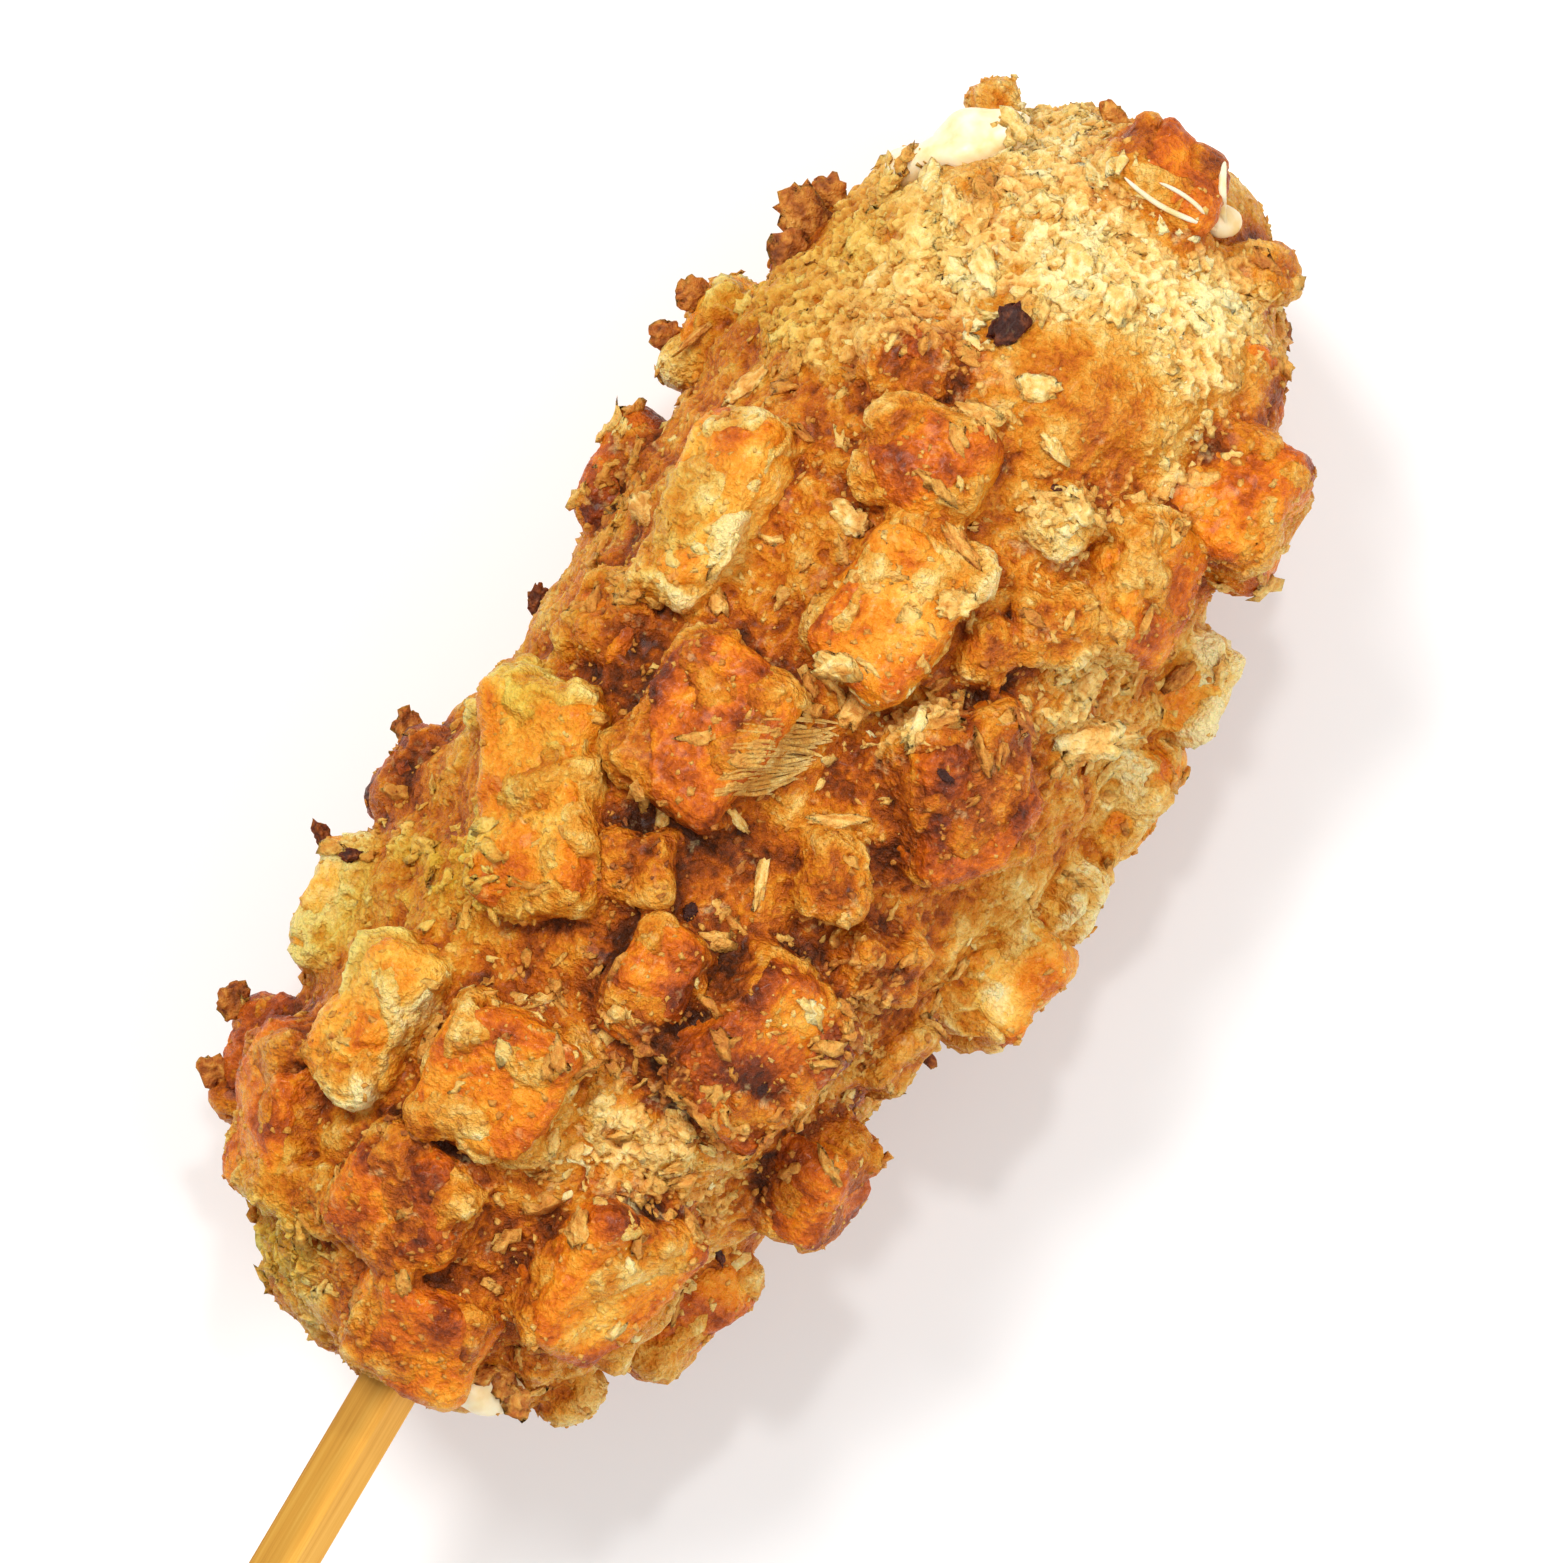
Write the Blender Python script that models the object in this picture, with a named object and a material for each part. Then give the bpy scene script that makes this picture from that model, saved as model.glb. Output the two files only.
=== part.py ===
"""Potato corn dog on a square wooden stick.

A fried batter body is set with blocks of potato, and cheese shows at three places. It lies down with its
better side up, the stick along -Y and the tip along +Y, in metres. The origin is on the resting plane, under
the middle of the bounding box.

Places on the body are measured from a reference point on its axis: along is towards the tip, across is to the
right as seen from above, and around is an angle from straight up, positive to the right.
"""

import math
import random

import bmesh
import bpy
from mathutils import Matrix, Vector, noise
from mathutils.bvhtree import BVHTree

# The batter body, an ellipsoid with blunt ends
FOOT_ALONG = -0.0665
TIP_ALONG = 0.0715
BODY_WIDTH = 0.0524
BODY_DEPTH = 0.0490
FOOT_BLUNTNESS = 2.6
TIP_BLUNTNESS = 2.75
MIDDLE_ALONG = (FOOT_ALONG + TIP_ALONG) / 2
HALF_LENGTH = (TIP_ALONG - FOOT_ALONG) / 2
SMALLEST_GIRTH = 0.02

# The body's centre line drifts to the right towards the tip
DRIFT_MIDDLE = 0.0012
DRIFT_SIDE = 0.0030
DRIFT_ALONG = -0.012
DRIFT_REACH = 0.028

AXIS_HEIGHT = 0.0275
CLEAR_OF_REST = 0.0006
BODY_SEGMENTS_AROUND = 36
BODY_SEGMENTS_ALONG = 42
RELIEF_HEIGHT = 0.0014
RELIEF_SPACING = 0.0085
FINE_RELIEF_HEIGHT = 0.0008
FINE_RELIEF_SPACING = 0.0045

# The batter rises this much round a block
MOUND_HEIGHT = 0.0013
MOUND_RADIUS = 0.0085

# The stick, a square bar with eased edges
STICK_SIDE = 0.0045
STICK_EDGE = 0.0005
STICK_ACROSS = 0.0007
STICK_TURN_DEG = 57.7
STICK_SHOWN = 0.085
STICK_SUNK = 0.110

# Clearance between neighbouring solids, and the shaping of the potato blocks
GAP = 0.0003
MOST_CORNER_GROWTH = 1.8
BLOCK_EDGE = 0.0013
BLOCK_SKEW = 0.10
BLOCK_TILT_DEG = 7.0
SCRAP_EDGE = 0.0008

# Potato blocks that the shown side carries whole: across, along, width, length, height, yaw, roll, stand-out, tone
SHOWN_BLOCKS = (
    (0.0055, 0.0655, 0.0105, 0.0080, 0.0080, 0, 0, 0.0008, "orange"),
    (0.0210, 0.0535, 0.0078, 0.0088, 0.0080, 10, 0, -0.0010, "russet"),
    (0.0265, 0.0440, 0.0120, 0.0118, 0.0110, -8, 20, 0.0018, "russet"),
    (-0.0050, 0.0395, 0.0085, 0.0075, 0.0080, 15, 5, -0.0008, "dark"),
    (0.0005, 0.0325, 0.0110, 0.0092, 0.0090, 8, -6, 0.0008, "orange"),
    (-0.0137, 0.0190, 0.0082, 0.0180, 0.0095, 3, 6, 0.0012, "golden"),
    (0.0045, 0.0200, 0.0104, 0.0160, 0.0090, -5, 0, 0.0003, "golden"),
    (0.0215, 0.0332, 0.0095, 0.0130, 0.0090, 10, 0, -0.0004, "orange"),
    (0.0315, 0.0278, 0.0090, 0.0095, 0.0090, 5, 8, 0.0012, "russet"),
    (0.0315, 0.0160, 0.0100, 0.0105, 0.0095, 28, 6, 0.0010, "orange"),
    (0.0180, 0.0085, 0.0120, 0.0155, 0.0100, 38, 0, 0.0012, "russet"),
    (-0.0045, 0.0015, 0.0120, 0.0155, 0.0100, -6, 4, 0.0010, "orange"),
    (-0.0160, 0.0055, 0.0090, 0.0090, 0.0080, 10, 0, -0.0010, "dark"),
    (-0.0240, 0.0185, 0.0080, 0.0105, 0.0085, -5, -8, -0.0008, "pale"),
    (-0.0140, -0.0105, 0.0105, 0.0210, 0.0100, 27, -4, 0.0012, "golden"),
    (0.0028, -0.0205, 0.0068, 0.0112, 0.0085, 0, 0, 0.0006, "orange"),
    (0.0135, -0.0210, 0.0125, 0.0160, 0.0100, -12, 6, 0.0012, "russet"),
    (0.0290, -0.0050, 0.0110, 0.0120, 0.0110, -4, 10, 0.0010, "orange"),
    (0.0310, 0.0052, 0.0080, 0.0082, 0.0090, 22, 0, 0.0017, "orange"),
    (-0.0250, -0.0160, 0.0085, 0.0095, 0.0085, 8, 0, -0.0008, "dark"),
    (-0.0240, -0.0298, 0.0110, 0.0125, 0.0100, 4, -10, -0.0014, "pale"),
    (-0.0165, -0.0365, 0.0080, 0.0150, 0.0092, -3, 0, 0.0008, "golden"),
    (-0.0045, -0.0355, 0.0130, 0.0125, 0.0100, 8, -4, 0.0006, "golden"),
    (0.0240, -0.0290, 0.0095, 0.0105, 0.0095, 38, 8, 0.0014, "russet"),
    (0.0212, -0.0458, 0.0085, 0.0142, 0.0080, -8, 0, 0.0002, "russet"),
    (0.0120, -0.0465, 0.0125, 0.0150, 0.0100, 5, 4, 0.0006, "golden"),
    (-0.0060, -0.0490, 0.0112, 0.0115, 0.0088, -10, 0, 0.0002, "russet"),
    (-0.0193, -0.0485, 0.0105, 0.0155, 0.0095, 6, -6, 0.0002, "pale"),
    (0.0005, -0.0585, 0.0120, 0.0110, 0.0090, 4, 0, 0.0002, "orange"),
)

# Blocks low on the sides: around in degrees, along, width, length, height, yaw, roll, stand-out, tone
EDGE_BLOCKS = (
    (-101, 0.0455, 0.0080, 0.0092, 0.0085, 5, 0, -0.0024, "dark"),
    (-97, 0.0338, 0.0085, 0.0102, 0.0092, -8, 0, 0.0002, "dark"),
    (-106, -0.0458, 0.0085, 0.0118, 0.0085, 0, 0, 0.0018, "dark"),
    (116, 0.0440, 0.0110, 0.0115, 0.0095, 20, 0, 0.0004, "golden"),
    (115, 0.0190, 0.0115, 0.0125, 0.0095, -15, 0, 0.0006, "orange"),
    (117, -0.0050, 0.0105, 0.0120, 0.0095, 30, 0, 0.0004, "russet"),
    (118, -0.0290, 0.0110, 0.0115, 0.0095, -25, 0, -0.0004, "golden"),
)

# Blocks on the underside, in rings with three to a ring, and the rings turned to one side and the other
UNDER_RINGS = 6
UNDER_PER_RING = 3
UNDER_FIRST_ALONG = -0.0510
UNDER_LAST_ALONG = 0.0500
UNDER_MIDDLE_DEG = 180.0
UNDER_STEP_DEG = 37.0
UNDER_STAGGER_DEG = 6.0
UNDER_JITTER_DEG = 2.0
UNDER_JITTER_ALONG = 0.002
UNDER_WIDTH = 0.0125
UNDER_WIDTH_SHARES = (0.85, 1.1)
UNDER_LENGTH = 0.0135
UNDER_LENGTH_SHARES = (0.85, 1.15)
UNDER_HEIGHT = 0.0100
UNDER_YAW_DEG = 35.0
UNDER_STAND_OUT = (0.0006, 0.0012)
UNDER_TONES = ("golden", "orange", "russet", "golden", "orange")
UNDER_SEED = 11

# Small scraps of potato, part of the batter: across, along, width, length, height, yaw
SCRAPS = (
    (0.0175, 0.0635, 0.0062, 0.0060, 0.0062, 20),
    (0.0170, 0.0255, 0.0066, 0.0074, 0.0070, 30),
    (0.0115, -0.0045, 0.0055, 0.0080, 0.0072, 12),
    (-0.0030, -0.0120, 0.0060, 0.0070, 0.0070, 27),
    (0.0190, -0.0090, 0.0080, 0.0062, 0.0066, 20),
    (0.0245, -0.0155, 0.0055, 0.0070, 0.0054, -6),
    (0.0135, 0.0205, 0.0050, 0.0062, 0.0052, 8),
    (0.0146, -0.0578, 0.0052, 0.0060, 0.0060, 10),
    (-0.0125, 0.0655, 0.0052, 0.0046, 0.0052, 20),
    (-0.0130, -0.0535, 0.0062, 0.0066, 0.0066, 24),
    (-0.0212, -0.0050, 0.0045, 0.0080, 0.0050, 4),
    (0.0130, 0.0340, 0.0060, 0.0066, 0.0056, -20),
)
UNDER_SCRAPS = 14
UNDER_SCRAP_DEG = (-58, 19, 58, -19)
UNDER_SCRAP_JITTER_DEG = 4.0
UNDER_SCRAP_REACH = 0.82
SCRAP_SIZE = 0.0062
SCRAP_SIZE_SHARES = (0.85, 1.2)
SCRAP_STAND_OUT = 0.0004
SCRAP_SEED = 5

# Swellings where a block lies under the batter, and hollows: across, along, radius, height
LUMPS = (
    (-0.0075, 0.0675, 0.0080, -0.0042),
    (0.0100, 0.0455, 0.0078, 0.0036),
    (0.0150, 0.0570, 0.0068, 0.0024),
    (-0.0100, 0.0555, 0.0055, 0.0020),
    (-0.0125, 0.0330, 0.0060, 0.0018),
    (0.0120, -0.0335, 0.0070, 0.0016),
    (-0.0200, -0.0580, 0.0050, 0.0010),
    (0.0070, 0.0060, 0.0040, -0.0014),
    (0.0060, -0.0090, 0.0048, -0.0012),
)

# Bread flakes thick enough to show, part of the batter
FLAKE_COUNT = 34
FLAKE_LENGTH = 0.0040
FLAKE_LENGTH_SHARES = (0.8, 1.3)
FLAKE_WIDTH_SHARES = (0.45, 0.7)
FLAKE_THICKNESS_SHARES = (0.3, 0.45)
FLAKE_UNEVEN_SHARES = (0.75, 1.2)
FLAKE_TILT_DEG = 14.0
FLAKE_ALONG = (0.020, 0.064)
FLAKE_AROUND_DEG = (-80, 62)
FLAKE_SEED = 3

# Cheese that has come through: across, along, width, length, height, yaw, stand-out
CHEESE = {
    "cheese_tip": (-0.0120, 0.0600, 0.0062, 0.0150, 0.0040, -35, 0.0002),
    "cheese_drop": (0.0125, 0.0655, 0.0042, 0.0030, 0.0024, 25, 0.0009),
    "cheese_foot": (0.0080, -0.0612, 0.0088, 0.0042, 0.0040, 28, 0.0009),
}
CHEESE_SEGMENTS = 12
CHEESE_RINGS = 8

HALF_TURN_DEG = 180
QUARTER_TURN_DEG = 90
SHARP_DEG = 30

# Colours as linear RGB, with roughness
LOOKS = {
    "batter": ((0.62, 0.33, 0.09), 0.62),
    "pale": ((0.74, 0.50, 0.16), 0.55),
    "golden": ((0.76, 0.36, 0.05), 0.50),
    "orange": ((0.66, 0.22, 0.03), 0.50),
    "russet": ((0.47, 0.12, 0.025), 0.52),
    "dark": ((0.27, 0.09, 0.025), 0.55),
    "cheese": ((0.88, 0.78, 0.52), 0.38),
    "stick": ((0.72, 0.45, 0.13), 0.60),
}


def clear_scene():
    """Removes every object that the file starts with."""
    for obj in list(bpy.data.objects):
        bpy.data.objects.remove(obj, do_unlink=True)


def look(name):
    """A material with the colour and roughness of this finish, made once."""
    made = bpy.data.materials.get(name)
    if made is None:
        colour, roughness = LOOKS[name]
        made = bpy.data.materials.new(name)
        made.use_nodes = True
        shader = made.node_tree.nodes["Principled BSDF"]
        shader.inputs["Base Color"].default_value = (*colour, 1.0)
        shader.inputs["Roughness"].default_value = roughness
        shader.inputs["Metallic"].default_value = 0.0
    return made


def centre_across(along):
    """How far the body's centre line lies to the right at this place."""
    return DRIFT_MIDDLE + DRIFT_SIDE * math.tanh((along - DRIFT_ALONG) / DRIFT_REACH)


def end_share(along):
    """How far from the middle to an end this place lies, negative towards the foot."""
    return max(-1.0, min(1.0, (along - MIDDLE_ALONG) / HALF_LENGTH))


def bluntness(along):
    """How square the end on this side of the middle is."""
    return TIP_BLUNTNESS if along > MIDDLE_ALONG else FOOT_BLUNTNESS


def girth(along):
    """The body's size round its centre line here, as a share of its fullest."""
    return (1 - abs(end_share(along)) ** bluntness(along)) ** (1 / bluntness(along))


def plain_point(along, around):
    """A point on the body before any relief, with around in radians."""
    size = girth(along)
    return Vector(
        (
            centre_across(along) + BODY_WIDTH / 2 * size * math.sin(around),
            along,
            BODY_DEPTH / 2 * size * math.cos(around),
        )
    )


def outward(along, around):
    """The direction straight out of the body here."""
    size = max(girth(along), SMALLEST_GIRTH)
    share = end_share(along)
    slope = (abs(share) / size) ** (bluntness(along) - 1)
    return Vector(
        (
            math.sin(around) / (BODY_WIDTH / 2),
            math.copysign(slope, share) / HALF_LENGTH,
            math.cos(around) / (BODY_DEPTH / 2),
        )
    ).normalized()


def around_of(across, along, stand_out=0.0):
    """The angle at which a thing that stands out this far is seen at this place across."""
    reach = BODY_WIDTH / 2 * girth(along) + stand_out
    return math.asin(max(-1.0, min(1.0, (across - centre_across(along)) / reach)))


def seat(along, around, stand_out, yaw_deg, roll_deg=0.0, pitch_deg=0.0):
    """The place and turn of a thing set in the body: its z points out, its y runs along and its x around."""
    out = outward(along, around)
    sideways = Vector((math.cos(around), 0, -math.sin(around)))
    sideways = (sideways - out * sideways.dot(out)).normalized()
    lengthways = out.cross(sideways)
    turn = Matrix((sideways, lengthways, out)).transposed().to_4x4()
    place = Matrix.Translation(plain_point(along, around) + out * stand_out)
    lean = Matrix.Rotation(math.radians(roll_deg), 4, "Y") @ Matrix.Rotation(math.radians(pitch_deg), 4, "X")
    return place @ turn @ Matrix.Rotation(math.radians(yaw_deg), 4, "Z") @ lean


def block_mesh(width, length, height, edge, rng):
    """A block cut from a potato: six uneven sides with eased edges."""
    shape = bmesh.new()
    bmesh.ops.create_cube(shape, size=1.0)
    sizes = Vector((width, length, height))
    for corner in shape.verts:
        for axis in range(3):
            corner.co[axis] *= sizes[axis] * (1 + rng.uniform(-BLOCK_SKEW, BLOCK_SKEW))
    bmesh.ops.bevel(
        shape,
        geom=shape.edges[:],
        offset=edge,
        segments=1,
        profile=0.5,
        affect="EDGES",
        clamp_overlap=True,
        material=-1,
    )
    return shape


def blob_mesh(width, length, height):
    """A soft drop: a ball pressed to these sizes."""
    shape = bmesh.new()
    bmesh.ops.create_uvsphere(
        shape, u_segments=CHEESE_SEGMENTS, v_segments=CHEESE_RINGS, radius=0.5
    )
    bmesh.ops.scale(shape, vec=(width, length, height), verts=shape.verts)
    return shape


def flake_mesh(length, rng):
    """A torn bread flake, a flat pebble with an uneven rim."""
    shape = bmesh.new()
    bmesh.ops.create_icosphere(shape, subdivisions=1, radius=0.5)
    shares = Vector((rng.uniform(*FLAKE_WIDTH_SHARES), 1.0, rng.uniform(*FLAKE_THICKNESS_SHARES)))
    for point in shape.verts:
        for axis in range(3):
            point.co[axis] *= length * shares[axis] * rng.uniform(*FLAKE_UNEVEN_SHARES)
    return shape


def cut_by_plane(shape, point, normal):
    """Takes away what lies past the plane and closes the cut."""
    everything = shape.verts[:] + shape.edges[:] + shape.faces[:]
    cut = bmesh.ops.bisect_plane(
        shape, geom=everything, plane_co=point, plane_no=normal, clear_outer=True
    )
    rim = [part for part in cut["geom_cut"] if isinstance(part, bmesh.types.BMEdge)]
    if rim:
        bmesh.ops.holes_fill(shape, edges=rim)
        bmesh.ops.recalc_face_normals(shape, faces=shape.faces)


def hull_of(points):
    """The closed shape that these points span, without a hollow anywhere."""
    shape = bmesh.new()
    bmesh.ops.convex_hull(shape, input=[shape.verts.new(point) for point in points])
    inside = [v for v in shape.verts if not v.link_faces]
    bmesh.ops.delete(shape, geom=inside, context="VERTS")
    bmesh.ops.recalc_face_normals(shape, faces=shape.faces)
    return shape


def grown(shape, by):
    """A shape without hollows whose faces lie this much further out."""
    shape.normal_update()
    return hull_of(
        [v.co + v.normal * by * min(v.calc_shell_factor(), MOST_CORNER_GROWTH) for v in shape.verts]
    )


def touch(first, second):
    """Whether two shapes come closer than the gap."""
    grown_pair = [grown(shape, GAP / 2) for shape in (first, second)]
    trees = [BVHTree.FromBMesh(shape) for shape in grown_pair]
    meet = bool(trees[0].overlap(trees[1]))
    for shape in grown_pair:
        shape.free()
    return meet


def part_neighbours(inlays):
    """Pares two inlays that meet back to a plane between them, as pressed blocks flatten each other."""
    names = list(inlays)
    for i, first in enumerate(names):
        for second in names[i + 1 :]:
            shapes = [inlays[first][0], inlays[second][0]]
            if not touch(*shapes):
                continue
            middles = [sum((v.co for v in s.verts), Vector()) / len(s.verts) for s in shapes]
            towards = (middles[1] - middles[0]).normalized()
            reach = [
                max(side * towards.dot(v.co - middle) for v in shape.verts)
                for shape, middle, side in zip(shapes, middles, (1, -1))
            ]
            share = reach[0] / (reach[0] + reach[1])
            plane = middles[0] + (middles[1] - middles[0]) * share
            for shape, side in zip(shapes, (1, -1)):
                cut_by_plane(shape, plane - towards * side * GAP / 2, towards * side)


def tilt(rng):
    """A small uneven lean, in degrees."""
    return rng.uniform(-BLOCK_TILT_DEG, BLOCK_TILT_DEG)


def placed_inlays():
    """Every piece set into the batter, by name: its shape where it lies, its seat and its look."""
    inlays = {}
    for name, (across, along, width, length, height, yaw, stand_out) in CHEESE.items():
        place = seat(along, around_of(across, along, stand_out), stand_out, yaw)
        shape = blob_mesh(width, length, height)
        inlays[name] = (shape, place, "cheese")

    rng = random.Random(UNDER_SEED)
    blocks = []
    for across, along, width, length, height, yaw, roll, stand_out, tone in SHOWN_BLOCKS:
        around = around_of(across, along, stand_out)
        blocks.append((around, along, width, length, height, yaw, roll, stand_out, tone))
    for around_deg, along, *rest in EDGE_BLOCKS:
        blocks.append((math.radians(around_deg), along, *rest))
    for ring in range(UNDER_RINGS):
        along = UNDER_FIRST_ALONG + (UNDER_LAST_ALONG - UNDER_FIRST_ALONG) * ring / (UNDER_RINGS - 1)
        for column in range(UNDER_PER_RING):
            turn = (column - (UNDER_PER_RING - 1) / 2) * UNDER_STEP_DEG + UNDER_STAGGER_DEG * (-1) ** ring
            turn += rng.uniform(-UNDER_JITTER_DEG, UNDER_JITTER_DEG)
            blocks.append(
                (
                    math.radians(UNDER_MIDDLE_DEG + turn),
                    along + rng.uniform(-UNDER_JITTER_ALONG, UNDER_JITTER_ALONG),
                    UNDER_WIDTH * rng.uniform(*UNDER_WIDTH_SHARES),
                    UNDER_LENGTH * rng.uniform(*UNDER_LENGTH_SHARES),
                    UNDER_HEIGHT,
                    rng.uniform(-UNDER_YAW_DEG, UNDER_YAW_DEG),
                    0.0,
                    rng.uniform(*UNDER_STAND_OUT),
                    UNDER_TONES[(ring * UNDER_PER_RING + column) % len(UNDER_TONES)],
                )
            )
    for number, (around, along, width, length, height, yaw, roll, stand_out, tone) in enumerate(blocks, 1):
        place = seat(along, around, stand_out, yaw, roll + tilt(rng), tilt(rng))
        shape = block_mesh(width, length, height, BLOCK_EDGE, rng)
        inlays[f"potato_{number:02d}"] = (shape, place, tone)

    for shape, place, _ in inlays.values():
        bmesh.ops.transform(shape, matrix=place, verts=shape.verts)
    part_neighbours(inlays)
    for name, (shape, place, tone) in inlays.items():
        cut_by_plane(shape, Vector((0, 0, -AXIS_HEIGHT)), Vector((0, 0, -1)))
        inlays[name] = (hull_of([v.co for v in shape.verts]), place, tone)
    return inlays


def relief(point, lumps):
    """How far the fried surface stands out from the plain body here."""
    height = RELIEF_HEIGHT * noise.noise(point / RELIEF_SPACING)
    height += FINE_RELIEF_HEIGHT * noise.noise(point / FINE_RELIEF_SPACING)
    for middle, radius, rise in lumps:
        height += rise * math.exp(-((point - middle).length / radius) ** 2)
    return height


def body_mesh(set_in):
    """The batter before the pieces that lie at these places are set into it."""
    shape = bmesh.new()
    bmesh.ops.create_uvsphere(
        shape, u_segments=BODY_SEGMENTS_AROUND, v_segments=BODY_SEGMENTS_ALONG, radius=1.0
    )
    lumps = [
        (plain_point(along, around_of(across, along)), radius, rise)
        for across, along, radius, rise in LUMPS
    ]
    lumps += [(place, MOUND_RADIUS, MOUND_HEIGHT) for place in set_in]
    for point in shape.verts:
        along = MIDDLE_ALONG + HALF_LENGTH * point.co.z
        around = math.atan2(point.co.x, point.co.y)
        plain = plain_point(along, around)
        point.co = plain + outward(along, around) * relief(plain, lumps)
    bmesh.ops.recalc_face_normals(shape, faces=shape.faces)
    return shape


def fused_pieces():
    """Scraps and flakes that are part of the batter, where they lie."""
    rng = random.Random(SCRAP_SEED)
    pieces = []
    for across, along, width, length, height, yaw in SCRAPS:
        place = seat(along, around_of(across, along), SCRAP_STAND_OUT, yaw, tilt(rng), tilt(rng))
        pieces.append((block_mesh(width, length, height, SCRAP_EDGE, rng), place))
    for number in range(UNDER_SCRAPS):
        along = MIDDLE_ALONG + HALF_LENGTH * UNDER_SCRAP_REACH * (2 * (number + 0.5) / UNDER_SCRAPS - 1)
        around = UNDER_MIDDLE_DEG + UNDER_SCRAP_DEG[number % len(UNDER_SCRAP_DEG)]
        around += rng.uniform(-UNDER_SCRAP_JITTER_DEG, UNDER_SCRAP_JITTER_DEG)
        sizes = [SCRAP_SIZE * rng.uniform(*SCRAP_SIZE_SHARES) for _ in range(3)]
        yaw = rng.uniform(0, QUARTER_TURN_DEG)
        place = seat(along, math.radians(around), SCRAP_STAND_OUT, yaw, tilt(rng), tilt(rng))
        pieces.append((block_mesh(*sizes, SCRAP_EDGE, rng), place))
    rng = random.Random(FLAKE_SEED)
    for _ in range(FLAKE_COUNT):
        place = seat(
            rng.uniform(*FLAKE_ALONG),
            math.radians(rng.uniform(*FLAKE_AROUND_DEG)),
            RELIEF_HEIGHT / 2,
            rng.uniform(0, HALF_TURN_DEG),
            rng.uniform(-FLAKE_TILT_DEG, FLAKE_TILT_DEG),
            rng.uniform(-FLAKE_TILT_DEG, FLAKE_TILT_DEG),
        )
        pieces.append((flake_mesh(FLAKE_LENGTH * rng.uniform(*FLAKE_LENGTH_SHARES), rng), place))
    for shape, place in pieces:
        bmesh.ops.transform(shape, matrix=place, verts=shape.verts)
        cut_by_plane(shape, Vector((0, 0, CLEAR_OF_REST - AXIS_HEIGHT)), Vector((0, 0, -1)))
    return [shape for shape, _ in pieces]


def stick_mesh(grow=0.0):
    """The square bar, lying along Y where it goes, each side moved out by grow."""
    shape = bmesh.new()
    bmesh.ops.create_cube(shape, size=1.0)
    length = STICK_SHOWN + STICK_SUNK + 2 * grow
    side = STICK_SIDE + 2 * grow
    bmesh.ops.scale(shape, vec=(side, length, side), verts=shape.verts)
    bmesh.ops.bevel(
        shape,
        geom=shape.edges[:],
        offset=STICK_EDGE,
        segments=2,
        profile=0.5,
        affect="EDGES",
        material=-1,
    )
    middle = Vector((STICK_ACROSS, FOOT_ALONG + (STICK_SUNK - STICK_SHOWN) / 2, 0))
    place = Matrix.Translation(middle) @ Matrix.Rotation(math.radians(STICK_TURN_DEG), 4, "Y")
    bmesh.ops.transform(shape, matrix=place, verts=shape.verts)
    return shape


def object_of(name, shape, collection):
    """An object that holds this shape."""
    mesh = bpy.data.meshes.new(name)
    bmesh.ops.recalc_face_normals(shape, faces=shape.faces)
    shape.to_mesh(mesh)
    obj = bpy.data.objects.new(name, mesh)
    collection.objects.link(obj)
    return obj


def boolean(obj, shapes, operation):
    """Joins these shapes to the object, or cuts them from it, and applies the result."""
    tools = bpy.data.collections.new("tools")
    bpy.context.scene.collection.children.link(tools)
    for number, shape in enumerate(shapes):
        object_of(f"tool_{number:02d}", shape, tools)
    modifier = obj.modifiers.new(operation.title(), "BOOLEAN")
    modifier.operation = operation
    modifier.operand_type = "COLLECTION"
    modifier.collection = tools
    evaluated = obj.evaluated_get(bpy.context.evaluated_depsgraph_get())
    result = bpy.data.meshes.new_from_object(evaluated)
    obj.modifiers.clear()
    obj.data = result
    for tool in list(tools.objects):
        bpy.data.objects.remove(tool, do_unlink=True)
    bpy.data.collections.remove(tools)


def keep_largest(mesh):
    """Drops the loose scraps and the doubled slivers that a cut leaves."""
    shape = bmesh.new()
    shape.from_mesh(mesh)
    left = set(shape.faces)
    islands = []
    while left:
        island = set()
        border = [next(iter(left))]
        while border:
            face = border.pop()
            if face not in island:
                island.add(face)
                border.extend(n for edge in face.edges if edge.is_manifold for n in edge.link_faces)
        left -= island
        islands.append(island)
    islands.sort(key=len)
    loose = [face for island in islands[:-1] for face in island]
    bmesh.ops.delete(shape, geom=loose, context="FACES")
    shape.to_mesh(mesh)
    shape.free()


def finish(obj, look_name, origin=None):
    """Gives the object its origin, its look and smooth shading across its soft edges."""
    if origin is not None:
        obj.data.transform(origin.inverted())
        obj.matrix_world = origin
    obj.data.materials.clear()
    obj.data.materials.append(look(look_name))
    obj.data.shade_smooth()
    obj.data.set_sharp_from_angle(angle=math.radians(SHARP_DEG))


def lowest_and_highest(objects):
    """The lowest and highest corner of the objects' own points in the world."""
    points = [obj.matrix_world @ v.co for obj in objects for v in obj.data.vertices]
    return [Vector(pick(p[axis] for p in points) for axis in range(3)) for pick in (min, max)]


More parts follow.
